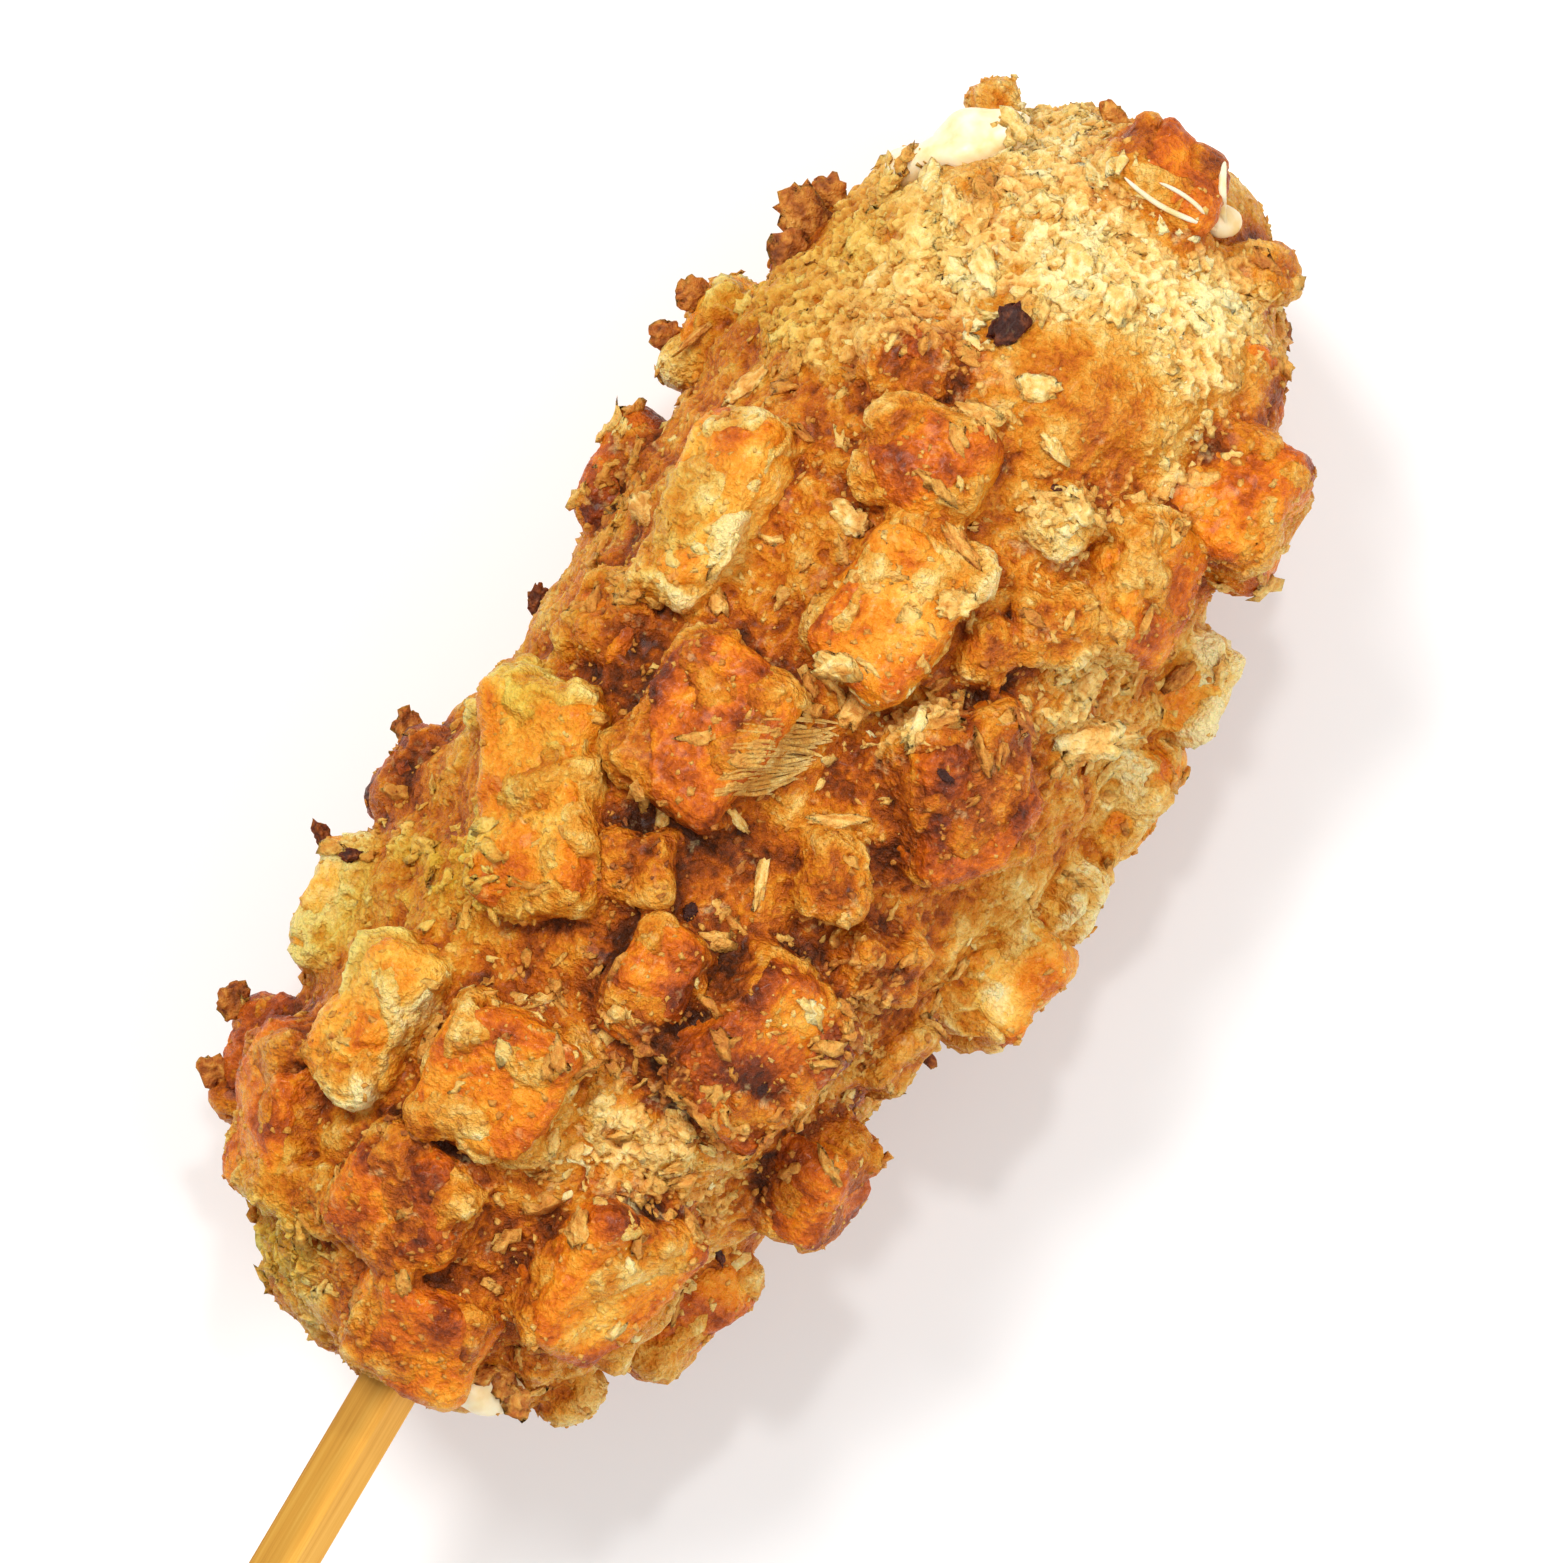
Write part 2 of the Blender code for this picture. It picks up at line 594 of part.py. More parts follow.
def build():
    clear_scene()
    scene = bpy.context.scene.collection
    inlays = placed_inlays()

    blocks = [place.translation for name, (_, place, _) in inlays.items() if name not in CHEESE]
    batter = object_of("batter", body_mesh(blocks), scene)
    boolean(batter, fused_pieces(), "UNION")
    pockets = [grown(shape, GAP) for shape, _, _ in inlays.values()]
    boolean(batter, [*pockets, stick_mesh(GAP)], "DIFFERENCE")
    keep_largest(batter.data)
    finish(batter, "batter")

    stick = object_of("stick", stick_mesh(), scene)
    finish(stick, "stick", Matrix.Translation((STICK_ACROSS, FOOT_ALONG, 0)))

    made = [batter, stick]
    for name, (shape, place, tone) in inlays.items():
        obj = object_of(name, shape, scene)
        finish(obj, tone, place)
        made.append(obj)

    bpy.context.view_layer.update()
    low, high = lowest_and_highest(made)
    whole = bpy.data.objects.new("corn_dog", None)
    scene.objects.link(whole)
    for obj in made:
        obj.parent = whole
    whole.location = (-(low.x + high.x) / 2, -(low.y + high.y) / 2, AXIS_HEIGHT)


build()
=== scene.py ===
# %% [markdown]
# # Dressing a potato corn dog
# The part in the frame is a set of plain solids: a batter body, blocks of potato, three bits of cheese and
# a stick. This notebook gives each of them the surface of the real food. It starts by loading the solids,
# which are in metres and lie where they belong.

import math
import random

import bmesh
import bpy
import numpy as np
from mathutils import Matrix, Vector, noise
from mathutils.bvhtree import BVHTree


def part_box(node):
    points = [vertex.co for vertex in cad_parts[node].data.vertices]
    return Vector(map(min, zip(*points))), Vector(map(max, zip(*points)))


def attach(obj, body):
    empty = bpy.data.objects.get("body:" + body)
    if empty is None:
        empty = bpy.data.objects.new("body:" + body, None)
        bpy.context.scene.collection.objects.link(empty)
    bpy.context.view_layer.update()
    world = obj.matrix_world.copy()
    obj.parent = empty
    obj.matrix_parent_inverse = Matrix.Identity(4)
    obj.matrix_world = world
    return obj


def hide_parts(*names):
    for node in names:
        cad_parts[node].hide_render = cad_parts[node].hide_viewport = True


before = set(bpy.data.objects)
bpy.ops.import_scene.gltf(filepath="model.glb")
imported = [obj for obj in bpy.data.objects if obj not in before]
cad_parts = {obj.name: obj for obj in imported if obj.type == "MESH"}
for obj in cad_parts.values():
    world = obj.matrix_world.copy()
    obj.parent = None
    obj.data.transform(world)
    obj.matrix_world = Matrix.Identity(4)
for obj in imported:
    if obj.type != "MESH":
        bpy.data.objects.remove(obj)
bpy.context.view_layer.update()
MM = 0.001

# %% [markdown]
# Places on the food are given as they are seen from above: across is to the right and along is towards the
# tip, in millimetres from a reference point on the body's axis. The stick gives that point, because it
# runs along the axis and its free end is a known distance away.

# %% Where things are
STICK_ACROSS = 0.7
STICK_END_ALONG = -151.5
stick_low, stick_high = (Vector(corner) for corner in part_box("stick"))
REFERENCE = Vector(
    (
        (stick_low.x + stick_high.x) / 2 - STICK_ACROSS * MM,
        stick_low.y - STICK_END_ALONG * MM,
        (stick_low.z + stick_high.z) / 2,
    )
)
POTATOES = sorted(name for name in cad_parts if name.startswith("potato_"))


def spot(across, along, up=0.0):
    """The point at this place on the food, in the frame's metres."""
    return REFERENCE + Vector((across, along, up)) * MM


print("reference point in mm:", [round(value / MM, 2) for value in REFERENCE])
print("potato blocks:", len(POTATOES))

# %% [markdown]
# A colour in this notebook is the sRGB hex value that a paint chart would give. Blender's shaders work on
# linear light, so one function turns the one into the other. Another adds a shader node with its settings
# and its links, which keeps each material down to a few readable lines.

# %% Helpers for materials


def linear(hex_colour):
    """An sRGB hex colour as linear RGBA."""
    shares = [int(hex_colour[i : i + 2], 16) / 255 for i in (0, 2, 4)]
    return (*[s / 12.92 if s <= 0.04045 else ((s + 0.055) / 1.055) ** 2.4 for s in shares], 1.0)


def set_up(node, settings):
    """Gives a node these settings, each by the name of a socket or of a property."""
    for name, value in settings.items():
        if isinstance(name, int) or name in node.inputs:
            node.inputs[name].default_value = value
        else:
            setattr(node, name, value)


def add(tree, kind, settings, links=None):
    """Adds a node with its settings, and with links that lead from an output to a named socket."""
    made = tree.nodes.new(kind)
    set_up(made, settings)
    for name, source in (links or {}).items():
        tree.links.new(source, made.inputs[name])
    return made


def set_stops(ramp, stops):
    """Gives a colour ramp these stops, as pairs of place and colour."""
    elements = ramp.color_ramp.elements
    while len(elements) < len(stops):
        elements.new(1.0)
    for element, (place, colour) in zip(elements, stops):
        element.position = place
        element.color = colour


def new_material(name, settings):
    """A material, its node tree, and its Principled shader with these settings."""
    made = bpy.data.materials.new(name)
    made.use_nodes = True
    shader = made.node_tree.nodes["Principled BSDF"]
    set_up(shader, settings)
    return made, made.node_tree, shader


print("a mid grey in linear light:", round(linear("808080")[0], 3))


# %% [markdown]
# Frying browns a surface step by step, from straw through gold and orange to red-brown. A colour ramp
# holds those steps. Potato, batter and bread brown a little differently, so each has a ramp of its own:
# potato is the most orange and bread the dullest. The share of browning is stored on the points as an
# attribute called roast, so that it follows the shape and not the camera.
#
# Noise breaks it up. Blotches of about 4 mm are where the oil was hotter. A mottle of about 1.5 mm is the
# coat of crumbs: it sets the height and the tone together, so that each tiny crest is paler than the dip
# beside it, and the finest specks do the same; the darker dips are partly crumb tone and partly painted
# shade. Voronoi cells under 1 mm across are its single grains, with painted shade where they meet. A
# second, sparser mottle turns crests to pale bread, more of them where the attribute crumbed is high.
# Painted shade from the real relief works the same way: crests paler, dips and undersides darker. A
# darker green-yellow tint on the left side of the food is painted shade too.

# %% The fried finishes
BROWNING_STOPS = (0.00, 0.16, 0.32, 0.46, 0.60, 0.74, 0.87, 1.00)
POTATO_BROWNING = "F8D688 F4BC52 EC9C2E E58414 CE640E A5480C 78300A 4C200A"
BATTER_BROWNING = "FCE4A2 F3C66C E4A03C DA831A C06210 98460E 6E320C 46200A"
CRUMB_BROWNING = "FCE4A2 F2C672 E0A24C CC8434 AE6428 884A22 62321C 3E2018"
BREAD_PALE = "FADC98"
# Colour of the painted shade on the left side of the food: a darker green-yellow.
OLIVE_SHADE_COLOUR = "E6DE6A"
# Size in mm, detail and roughness of each noise.
PATTERNS_MM = {
    "blotches": (4.2, 3.0, 0.6),
    "crests": (1.5, 4.0, 0.62),
    "bread": (1.9, 3.0, 0.65),
    "skin": (0.45, 2.0, 0.6),
}
GRAIN_MM = 0.75
GRAIN_SHARE = 0.045
GRAIN_HEIGHT = -0.3
SKIN_HEIGHT = 0.6
# Painted shade from the relief: how much paler the crests and how much darker the dips and undersides are.
RELIEF_SHADE_SHARE = 0.085
BREAD_SHARE = 0.16
BREAD_FROM = (0.64, 0.82)


def fried_finish(name, browning, blotch, mottle, speck, bread_most, roughness, oil, bump_mm):
    """Browned, crumbed food: tone from roast, painted shade from the relief, mottled crests and dips, a
    thin film of oil.

    blotch, mottle and speck are the shares of browning that each noise adds or takes. The mottle, the
    specks and the grains also make the bump, so their dips come out darker as painted shade. Rough spots
    are dull bread and smooth ones hold oil, so the roughness goes up and down around its own value.
    """
    settings = {
        "IOR": 1.46,
        "Specular IOR Level": 0.22,
        "Coat Weight": oil,
        "Coat Roughness": 0.16,
        "Subsurface Weight": 0.22,
        "Subsurface Radius": (0.0018, 0.0008, 0.0003),
        "Subsurface Scale": 1.0,
    }
    made, tree, shader = new_material(name, settings)
    place = add(tree, "ShaderNodeTexCoord", {}).outputs["Object"]
    stored = {
        key: add(tree, "ShaderNodeAttribute", {"attribute_name": key}).outputs["Fac"]
        for key in ("roast", "lift", "crumbed", "olive")
    }
    pattern = {}
    for key, (size_mm, detail, rough) in PATTERNS_MM.items():
        settings = {"Scale": 1 / (size_mm * MM), "Detail": detail, "Roughness": rough, "Distortion": 0.3}
        pattern[key] = add(tree, "ShaderNodeTexNoise", settings, {"Vector": place}).outputs["Fac"]
    cells = add(tree, "ShaderNodeTexVoronoi", {"Scale": 1 / (GRAIN_MM * MM)}, {"Vector": place})
    pattern["grain"] = cells.outputs["Distance"]

    # Painted shade: the crests, skin and grain noises also make the bump, so the tone is darker in their
    # dips; the relief values add painted shade from the real shape.
    tone = stored["roast"]
    for source, low, high, share in (
        (pattern["blotches"], 0.3, 0.7, blotch),
        (pattern["crests"], 0.3, 0.7, -mottle),
        (pattern["skin"], 0.3, 0.7, -speck),
        (pattern["grain"], 0.1, 0.7, GRAIN_SHARE),
        (stored["lift"], -1.0, 1.0, -RELIEF_SHADE_SHARE),
    ):
        limits = {"From Min": low, "From Max": high, "To Min": -share, "To Max": share}
        change = add(tree, "ShaderNodeMapRange", limits, {"Value": source}).outputs["Result"]
        tone = add(tree, "ShaderNodeMath", {"operation": "ADD"}, {0: tone, 1: change}).outputs[0]
    ramp = add(tree, "ShaderNodeValToRGB", {}, {"Fac": tone})
    set_stops(ramp, list(zip(BROWNING_STOPS, map(linear, browning.split()))))

    share = {"operation": "MULTIPLY_ADD", 1: BREAD_SHARE}
    bread = add(tree, "ShaderNodeMath", share, {0: stored["crumbed"], 2: pattern["bread"]}).outputs[0]
    bread = add(tree, "ShaderNodeMath", share, {0: pattern["crests"], 2: bread}).outputs[0]
    low, high = (edge + BREAD_SHARE / 2 for edge in BREAD_FROM)
    limits = {"From Min": low, "From Max": high, "To Max": bread_most}
    bread = add(tree, "ShaderNodeMapRange", limits, {"Value": bread}).outputs["Result"]
    links = {"Fac": bread, "Color1": ramp.outputs["Color"]}
    crumbed = add(tree, "ShaderNodeMixRGB", {"Color2": linear(BREAD_PALE)}, links)
    links = {"Fac": stored["olive"], "Color1": crumbed.outputs["Color"]}
    tinted = add(tree, "ShaderNodeMixRGB", {"blend_type": "MULTIPLY", "Color2": linear(OLIVE_SHADE_COLOUR)}, links)
    tree.links.new(tinted.outputs["Color"], shader.inputs["Base Color"])

    height = pattern["crests"]
    for source, share in ((pattern["skin"], SKIN_HEIGHT), (pattern["grain"], GRAIN_HEIGHT)):
        settings = {"operation": "MULTIPLY_ADD", 1: share}
        height = add(tree, "ShaderNodeMath", settings, {0: source, 2: height}).outputs[0]
    bump = add(tree, "ShaderNodeBump", {"Strength": 1.0, "Distance": bump_mm * MM}, {"Height": height})
    tree.links.new(bump.outputs["Normal"], shader.inputs["Normal"])
    limits = {"From Min": 0.35, "From Max": 0.65, "To Min": roughness + 0.2, "To Max": roughness - 0.22}
    dull = add(tree, "ShaderNodeMapRange", limits, {"Value": pattern["skin"]}).outputs["Result"]
    tree.links.new(dull, shader.inputs["Roughness"])
    return made


FRIED_BATTER = fried_finish(
    "fried_batter", BATTER_BROWNING, blotch=0.17, mottle=0.08, speck=0.05, bread_most=0.5,
    roughness=0.44, oil=0.04, bump_mm=1.12,
)  # fmt: skip
FRIED_POTATO = fried_finish(
    "fried_potato", POTATO_BROWNING, blotch=0.20, mottle=0.065, speck=0.05, bread_most=0.4,
    roughness=0.40, oil=0.07, bump_mm=0.72,
)  # fmt: skip
FRIED_CRUMB = fried_finish(
    "fried_breadcrumb", CRUMB_BROWNING, blotch=0.10, mottle=0.08, speck=0.05, bread_most=0.3,
    roughness=0.56, oil=0.02, bump_mm=0.60,
)  # fmt: skip
print("fried finishes:", FRIED_BATTER.name, FRIED_POTATO.name, FRIED_CRUMB.name)

# %% [markdown]
# No two places on fried food brown alike. The lists below hold the patches that stand out: where
# each one is, across and along, its radius, and how much browner, greener, more crumbed or smoother than
# its surroundings it is. The rest comes from noise. The patches fade out towards the side that lies on the
# table, so there the share of browning is noise alone.

# %% Where the food is browner, paler or greener
# Across, along and radius in mm, and the amount at the middle.
ROAST_PATCHES = (
    (-5, 40, 4.5, 0.10),
    (-20.5, 47, 4.5, 0.34),
    (-24, 34, 5, 0.06),
    (-22, 18, 4, 0.16),
    (-24, -46, 4, 0.10),
    (24, 54, 4, 0.14),
    (31, 43, 4, -0.12),
    (10, 45, 6, 0.10),
    (17, 9, 7, 0.16),
    (20, 15, 5, 0.08),
    (-16, 6, 5, 0.02),
    (-13, 1, 4, 0.08),
    (13, -22, 6, 0.14),
    (16, -16, 3.5, -0.40),
    (20, -10, 6, 0.24),
    (-6, -50, 6, 0.18),
    (12, -40, 4, 0.22),
    (26, -30, 5, 0.02),
    (23, -46, 4, -0.10),
    (1, -61, 5, 0.08),
    (13, 20, 3, 0.24),
    (-26, -46, 4, 0.10),
    (-27, -14, 4, 0.12),
    (-5, -12, 5, 0.16),
    (-10, -21, 5, 0.14),
    (9, -28, 5, 0.10),
    (-13, 19, 6, -0.10),
    (5, 19, 6, -0.05),
    (-16, -9, 5, -0.02),
    (30, -5, 4, -0.20),
    (-26, -31, 5, -0.20),
    (-16, -34, 4, -0.06),
    (-6, -34, 5, -0.04),
    (12, -34, 7, -0.12),
    (13, -48, 5, -0.16),
    (-20, -49, 5, -0.10),
    (2, -20, 3, -0.16),
    (12, -4, 3.5, 0.10),
    (2, 57, 13, -0.24),
    (5.5, 67.5, 5, 0.04),
    (-8, 57, 3, 0.22),
    (8, 57, 3, 0.12),
    (16, 57, 5, -0.18),
    (-13, 48, 8, -0.08),
    (24, 22, 5, -0.14),
    (-15, -61, 5, -0.14),
    (-3, -10.5, 3.5, 0.24),
    (-9, -44, 3.5, 0.20),
    (-23, -36.5, 3, 0.16),
    (-18, -3, 3.5, -0.18),
    (11, 11, 3, -0.22),
    (21.5, 44, 3.5, -0.25),
    (27, 2, 4, -0.18),
    (-17, -24, 6, -0.12),
    (6.5, -37.5, 4, -0.20),
    (18, 66, 3.5, 0.20),
    (-26.5, 20, 3.5, -0.24),
    (15, 31, 3.5, -0.25),
    (16, 52, 6, -0.14),
    (-25, -9, 4, -0.12),
    (9, 65, 3.5, -0.16),
    (10, 8, 3.5, -0.18),
    (-5, 66, 4, -0.15),
    (15, 16, 3, -0.16),
    (-10, -64, 4, -0.12),
    (-20, 46, 3, -0.18),
    (-9, -34, 3, 0.12),
    (-10, 16, 3, -0.12),
    (-25, 31, 3, -0.10),
    (-20, -31, 3.5, 0.12),
    (0, 11, 3, 0.18),
    (-1.5, -21.5, 3.5, 0.26),
    (5, -7, 3.8, 0.24),
    (-20, -43, 3.5, 0.20),
)
# Painted shade on the left side of the food, as a darker green-yellow tint.
OLIVE_SHADE_PATCHES = (
    (-21, 38, 9, 0.7),
    (-16, 50, 7, 0.45),
    (-20, 16, 7, 0.6),
    (-21, -4, 8, 0.8),
    (-19, -22, 9, 0.9),
    (-26, -34, 7, 0.6),
    (-20, -50, 7, 0.35),
    (-15, -61, 6, 0.9),
)
PALE_CRUMBS = (
    (0, 57, 12, 1.0),
    (-12, 48, 8, 1.0),
    (-21, 47, 2.8, -2.5),
    (-25, 34, 3.0, -1.5),
    (-17, 52, 5, 0.9),
    (-19, 41, 4.5, 0.8),
    (-12.5, 61.2, 3.4, -2.6),
    (13, 65.5, 1.8, -2.5),
    (8, -64, 2.4, -2.0),
    (5.5, 68, 5.5, -2.0),
    (15, 57, 8, 0.55),
    (17, 52, 5, 0.5),
    (-25, 18, 4, 0.6),
    (2, 62, 7, 0.7),
    (15, 63, 4, 0.5),
    (-13, 41, 6, 0.8),
    (-9, 62, 5, 0.5),
    (-8, 47, 7, 0.6),
    (0.4, 47.2, 2.5, -1.2),
    (10, 45.5, 6, -1.4),
    (-10, 57, 3.5, -0.7),
    (-5, 39, 4, -0.6),
    (3, 40, 5, 0.35),
    (14, 38, 5, 0.45),
    (21.5, 43, 4, 0.8),
    (4, 21, 5, 0.35),
    (-2, 12, 4, 0.2),
    (24, 21, 6, 0.65),
    (13, 32, 4, 0.5),
    (12, -33, 7, 0.75),
    (-17, -22, 6, 0.6),
    (0, -28, 7, 0.4),
    (8, 8, 4, 0.3),
    (22, -22, 5, 0.35),
    (-15, -60, 6, 0.5),
    (-20, 12, 5, 0.4),
    (15, 13, 5, 0.2),
    (22, -14, 5, 0.45),
    (16, -9, 4, 0.3),
    (7, -37, 4, 0.4),
    (12, 12, 3.5, 0.5),
    (3, -42, 4, 0.2),
)
SMOOTH_PATCHES = (
    (10, 45.5, 5.5, 1.0),
    (16, 55, 5, 0.8),
    (-9, 57, 3, 0.6),
    (12, -34, 4, 0.4),
    (-3, -17, 4, 0.5),
    (4, -9, 4, 0.5),
)
BATTER_ROAST = 0.455
LUMP_MM = 7.0
LUMP_ROAST = 0.10
POTATO_ROAST = {
    1: 0.73, 2: 0.48, 3: 0.56, 4: 0.64, 5: 0.50, 6: 0.33, 7: 0.37, 8: 0.46, 9: 0.22, 10: 0.24, 11: 0.58,
    12: 0.58, 13: 0.52, 14: 0.72, 15: 0.38, 16: 0.64, 17: 0.62, 18: 0.36, 19: 0.14, 20: 0.64, 21: 0.26,
    22: 0.22, 23: 0.44, 24: 0.62, 25: 0.52, 26: 0.50, 27: 0.48, 28: 0.48, 29: 0.50, 30: 0.54, 31: 0.33,
    32: 0.70,
}  # fmt: skip
USUAL_ROAST = (0.40, 0.60)
NOISE_FULL = 1.6
BLOCK_SEED = 23
SHOWN_FADE_MM = 12
rng = random.Random(BLOCK_SEED)
BLOCK_ROAST = {int(name[-2:]): rng.uniform(*USUAL_ROAST) for name in POTATOES} | POTATO_ROAST


def patched(points, patches, level=0.0):
    """The sum of soft round patches at these points, which fade out on the side that lies down."""
    total = np.full(len(points), level)
    shown = np.clip((points[:, 2] - REFERENCE.z) / (SHOWN_FADE_MM * MM) + 1, 0, 1)
    for across, along, radius, amount in patches:
        middle = spot(across, along)
        gap = np.hypot(points[:, 0] - middle.x, points[:, 1] - middle.y) / (radius * MM)
        total += amount * shown * np.exp(-(gap**2))
    return total


def uneven(points, size_mm, seed):
    """Smooth noise from about -1 to 1 at these points, with lumps of this size.

    Blender's noise seldom passes 0.6, so NOISE_FULL stretches it.
    """
    shift = Vector((seed * 7.3, seed * 3.1, seed * 5.7))
    scale = 1 / (size_mm * MM)
    return np.array([noise.noise(Vector(p) * scale + shift) for p in points]) * NOISE_FULL


print(len(ROAST_PATCHES), "patches of browning,", len(OLIVE_SHADE_PATCHES), "of green")

# %% [markdown]
# A fried coat has no edges: batter runs into every corner and crisps on every crest. A voxel remesh gives
# that at once. It joins overlapping shapes into one closed skin of even squares, and smoothing then turns
# each inner corner into a fillet. The squares are 0.35 to 0.5 mm, so that a 1 mm grain still gets a few.
#
# Relief comes next, by moving each point along its normal. Ridged noise, the absolute value of noise
# turned upside down, makes thin crisp crests with round hollows between them, which plain noise doesn't.
# What would dip under the table is pressed flat on it.

# %% A skin over solids
LOWEST_MM = -0.1
CRAG_WIDTH_MM = 4.2
BLISTER_WIDTH_MM = 2.1
GRAIN_WIDTH_MM = 1.1
BLISTER_LEVEL = 0.5
GRAIN_LEVEL = 0.4


def merged_copy(name, grow=0.0):
    """A copy of a CAD node as one closed shape, its faces moved out by grow."""
    shape = bmesh.new()
    shape.from_mesh(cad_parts[name].data)
    bmesh.ops.remove_doubles(shape, verts=shape.verts, dist=1e-6)
    if grow:
        shape.normal_update()
        for point, step in [(v, v.normal * grow) for v in shape.verts]:
            point.co += step
    return shape


def joined(shapes, name):
    """One object that holds all these shapes."""
    mesh = bpy.data.meshes.new(name)
    whole = bmesh.new()
    for shape in shapes:
        shape.to_mesh(mesh)
        whole.from_mesh(mesh)
        shape.free()
    whole.to_mesh(mesh)
    whole.free()
    obj = bpy.data.objects.new(name, mesh)
    bpy.context.scene.collection.objects.link(obj)
    return obj


def bake_modifiers(obj):
    """Leaves the object with the mesh that its modifiers make, and without them."""
    evaluated = obj.evaluated_get(bpy.context.evaluated_depsgraph_get())
    mesh = bpy.data.meshes.new_from_object(evaluated)
    obj.modifiers.clear()
    obj.data = mesh


def skin_over(obj, voxel_mm, rounds):
    """Turns an object into one even skin with softened corners."""
    remesh = obj.modifiers.new("Skin", "REMESH")
    remesh.mode = "VOXEL"
    remesh.voxel_size = voxel_mm * MM
    soften = obj.modifiers.new("Soften", "SMOOTH")
    soften.factor = 0.5
    soften.iterations = rounds
    bake_modifiers(obj)


def dress(obj, material, slot, *replaced):
    """Finishes a piece: its material, its body and the solids it stands for. The slot argument is not
    used.
    """
    obj.data.materials.clear()
    obj.data.materials.append(material)
    obj.data.shade_smooth()
    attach(obj, "root")
    if replaced:
        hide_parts(*replaced)
    return obj


def points_of(mesh):
    """The mesh's points and their normals as arrays."""
    points = np.empty(len(mesh.vertices) * 3)
    normals = np.empty(len(mesh.vertices) * 3)
    mesh.vertices.foreach_get("co", points)
    mesh.vertices.foreach_get("normal", normals)
    return points.reshape(-1, 3), normals.reshape(-1, 3)


def above_table(points):
    """The same points, with those that would dip under the table pressed flat on it."""
    return np.column_stack((points[:, :2], np.maximum(points[:, 2], LOWEST_MM * MM)))


def push(mesh, normals, heights):
    """Moves each point along its normal by its height in millimetres."""
    points, _ = points_of(mesh)
    moved = above_table(points + normals * heights[:, None] * MM)
    mesh.vertices.foreach_set("co", moved.ravel())
    mesh.update()


def store(mesh, name, values):
    """Keeps a value on each point for the materials to read."""
    attribute = mesh.attributes.get(name) or mesh.attributes.new(name, "FLOAT", "POINT")
    attribute.data.foreach_set("value", np.asarray(values, dtype=np.float32))


def relief(points, crag_mm, blister_mm, grain_mm, seed):
    """Height in mm of a fried surface: broad crags, crisp blisters and grains, each by its own height."""
    crags = uneven(points, CRAG_WIDTH_MM, seed)
    blisters = BLISTER_LEVEL - np.abs(uneven(points, BLISTER_WIDTH_MM, seed + 1))
    grains = GRAIN_LEVEL - np.abs(uneven(points, GRAIN_WIDTH_MM, seed + 2))
    return crags * crag_mm + blisters * blister_mm + grains * grain_mm


def standing_out(mesh, rounds):
    """How far each point stands out, in mm, from the same skin after this many rounds of smoothing."""
    points, normals = points_of(mesh)
    edges = np.empty(len(mesh.edges) * 2, dtype=np.int32)
    mesh.edges.foreach_get("vertices", edges)
    one, other = edges.reshape(-1, 2).T
    count = np.bincount(edges, minlength=len(points))
    smooth = points.copy()
    for _ in range(rounds):
        for axis in range(3):
            pull = np.bincount(one, smooth[other, axis], len(points))
            pull += np.bincount(other, smooth[one, axis], len(points))
            smooth[:, axis] = pull / count
    return np.einsum("ij,ij->i", points - smooth, normals) / MM


print("the skin may reach down to", LOWEST_MM, "mm")

# %% [markdown]
# The batter comes first. Its skin goes over the body and over every potato block, grown a little so that
# no gap is left, and that makes the fillets between them. From an uneven line up each block's sides it is
# let down under the block, so that the potato shows through and here and there a film of batter stays on
# it. Beside a block the batter takes on the block's own browning. Its hollows and deep valleys are painted
# darker and its crests paler, as painted shade.

# %% The batter
CHEESES = ("cheese_tip", "cheese_drop", "cheese_foot")
CREST_ROUNDS = 4
CREST_MM = 0.25
EDGE_ROUNDS = 25
EDGE_MM = 0.9
VALLEY_ROUNDS = 140
VALLEY_MM = 1.6
BATTER_VOXEL_MM = 0.5
BATTER_ROUNDS = 7
OVER_POTATO_MM = 0.45
UNDER_POTATO_MM = 0.75
UNDER_REACH_MM = (0.5, 1.3)
FILM_MM = 0.85
FILM_WIDTH_MM = 5.0
FILM_CONTRAST = 2.0
FILM_LESS = 0.1
UNDER_CALM = 0.5
CLIMB_MM = 3.0
CLIMB_UNEVEN_MM = 2.4
CLIMB_WIDTH_MM = 3.5
CLIMB_FADE_MM = 0.8
UNDER_CHEESE_MM = 0.5
CHEESE_REACH_MM = (0.3, 1.2)
TONE_REACH_MM = (0.6, 3.0)
BATTER_RELIEF_MM = (0.70, 0.42, 0.34)
BATTER_SEED = 1
TIP_FROM = 36
TIP_FADE_MM = 10
TIP_CALM = 0.4
PATCH_CALM = 0.6


def nearest_node(points, names):
    """For each point the name of the nearest of these CAD nodes, and how far away its surface is in mm."""
    whole = bmesh.new()
    holder = bpy.data.meshes.new("surfaces")
    owners = []
    for name in names:
        shape = merged_copy(name)
        bmesh.ops.triangulate(shape, faces=shape.faces)
        owners += [name] * len(shape.faces)
        shape.to_mesh(holder)
        whole.from_mesh(holder)
        shape.free()
    tree = BVHTree.FromBMesh(whole)
    whole.free()
    found = [tree.find_nearest(Vector(p)) for p in points]
    return [owners[face] for _, _, face, _ in found], np.array([gap for *_, gap in found]) / MM


def block_tones(points):
    """The browning of the potato block nearest to each point, and how far away that block is in mm."""
    names, gaps = nearest_node(points, POTATOES)
    return np.array([BLOCK_ROAST[int(name[-2:])] for name in names]), gaps


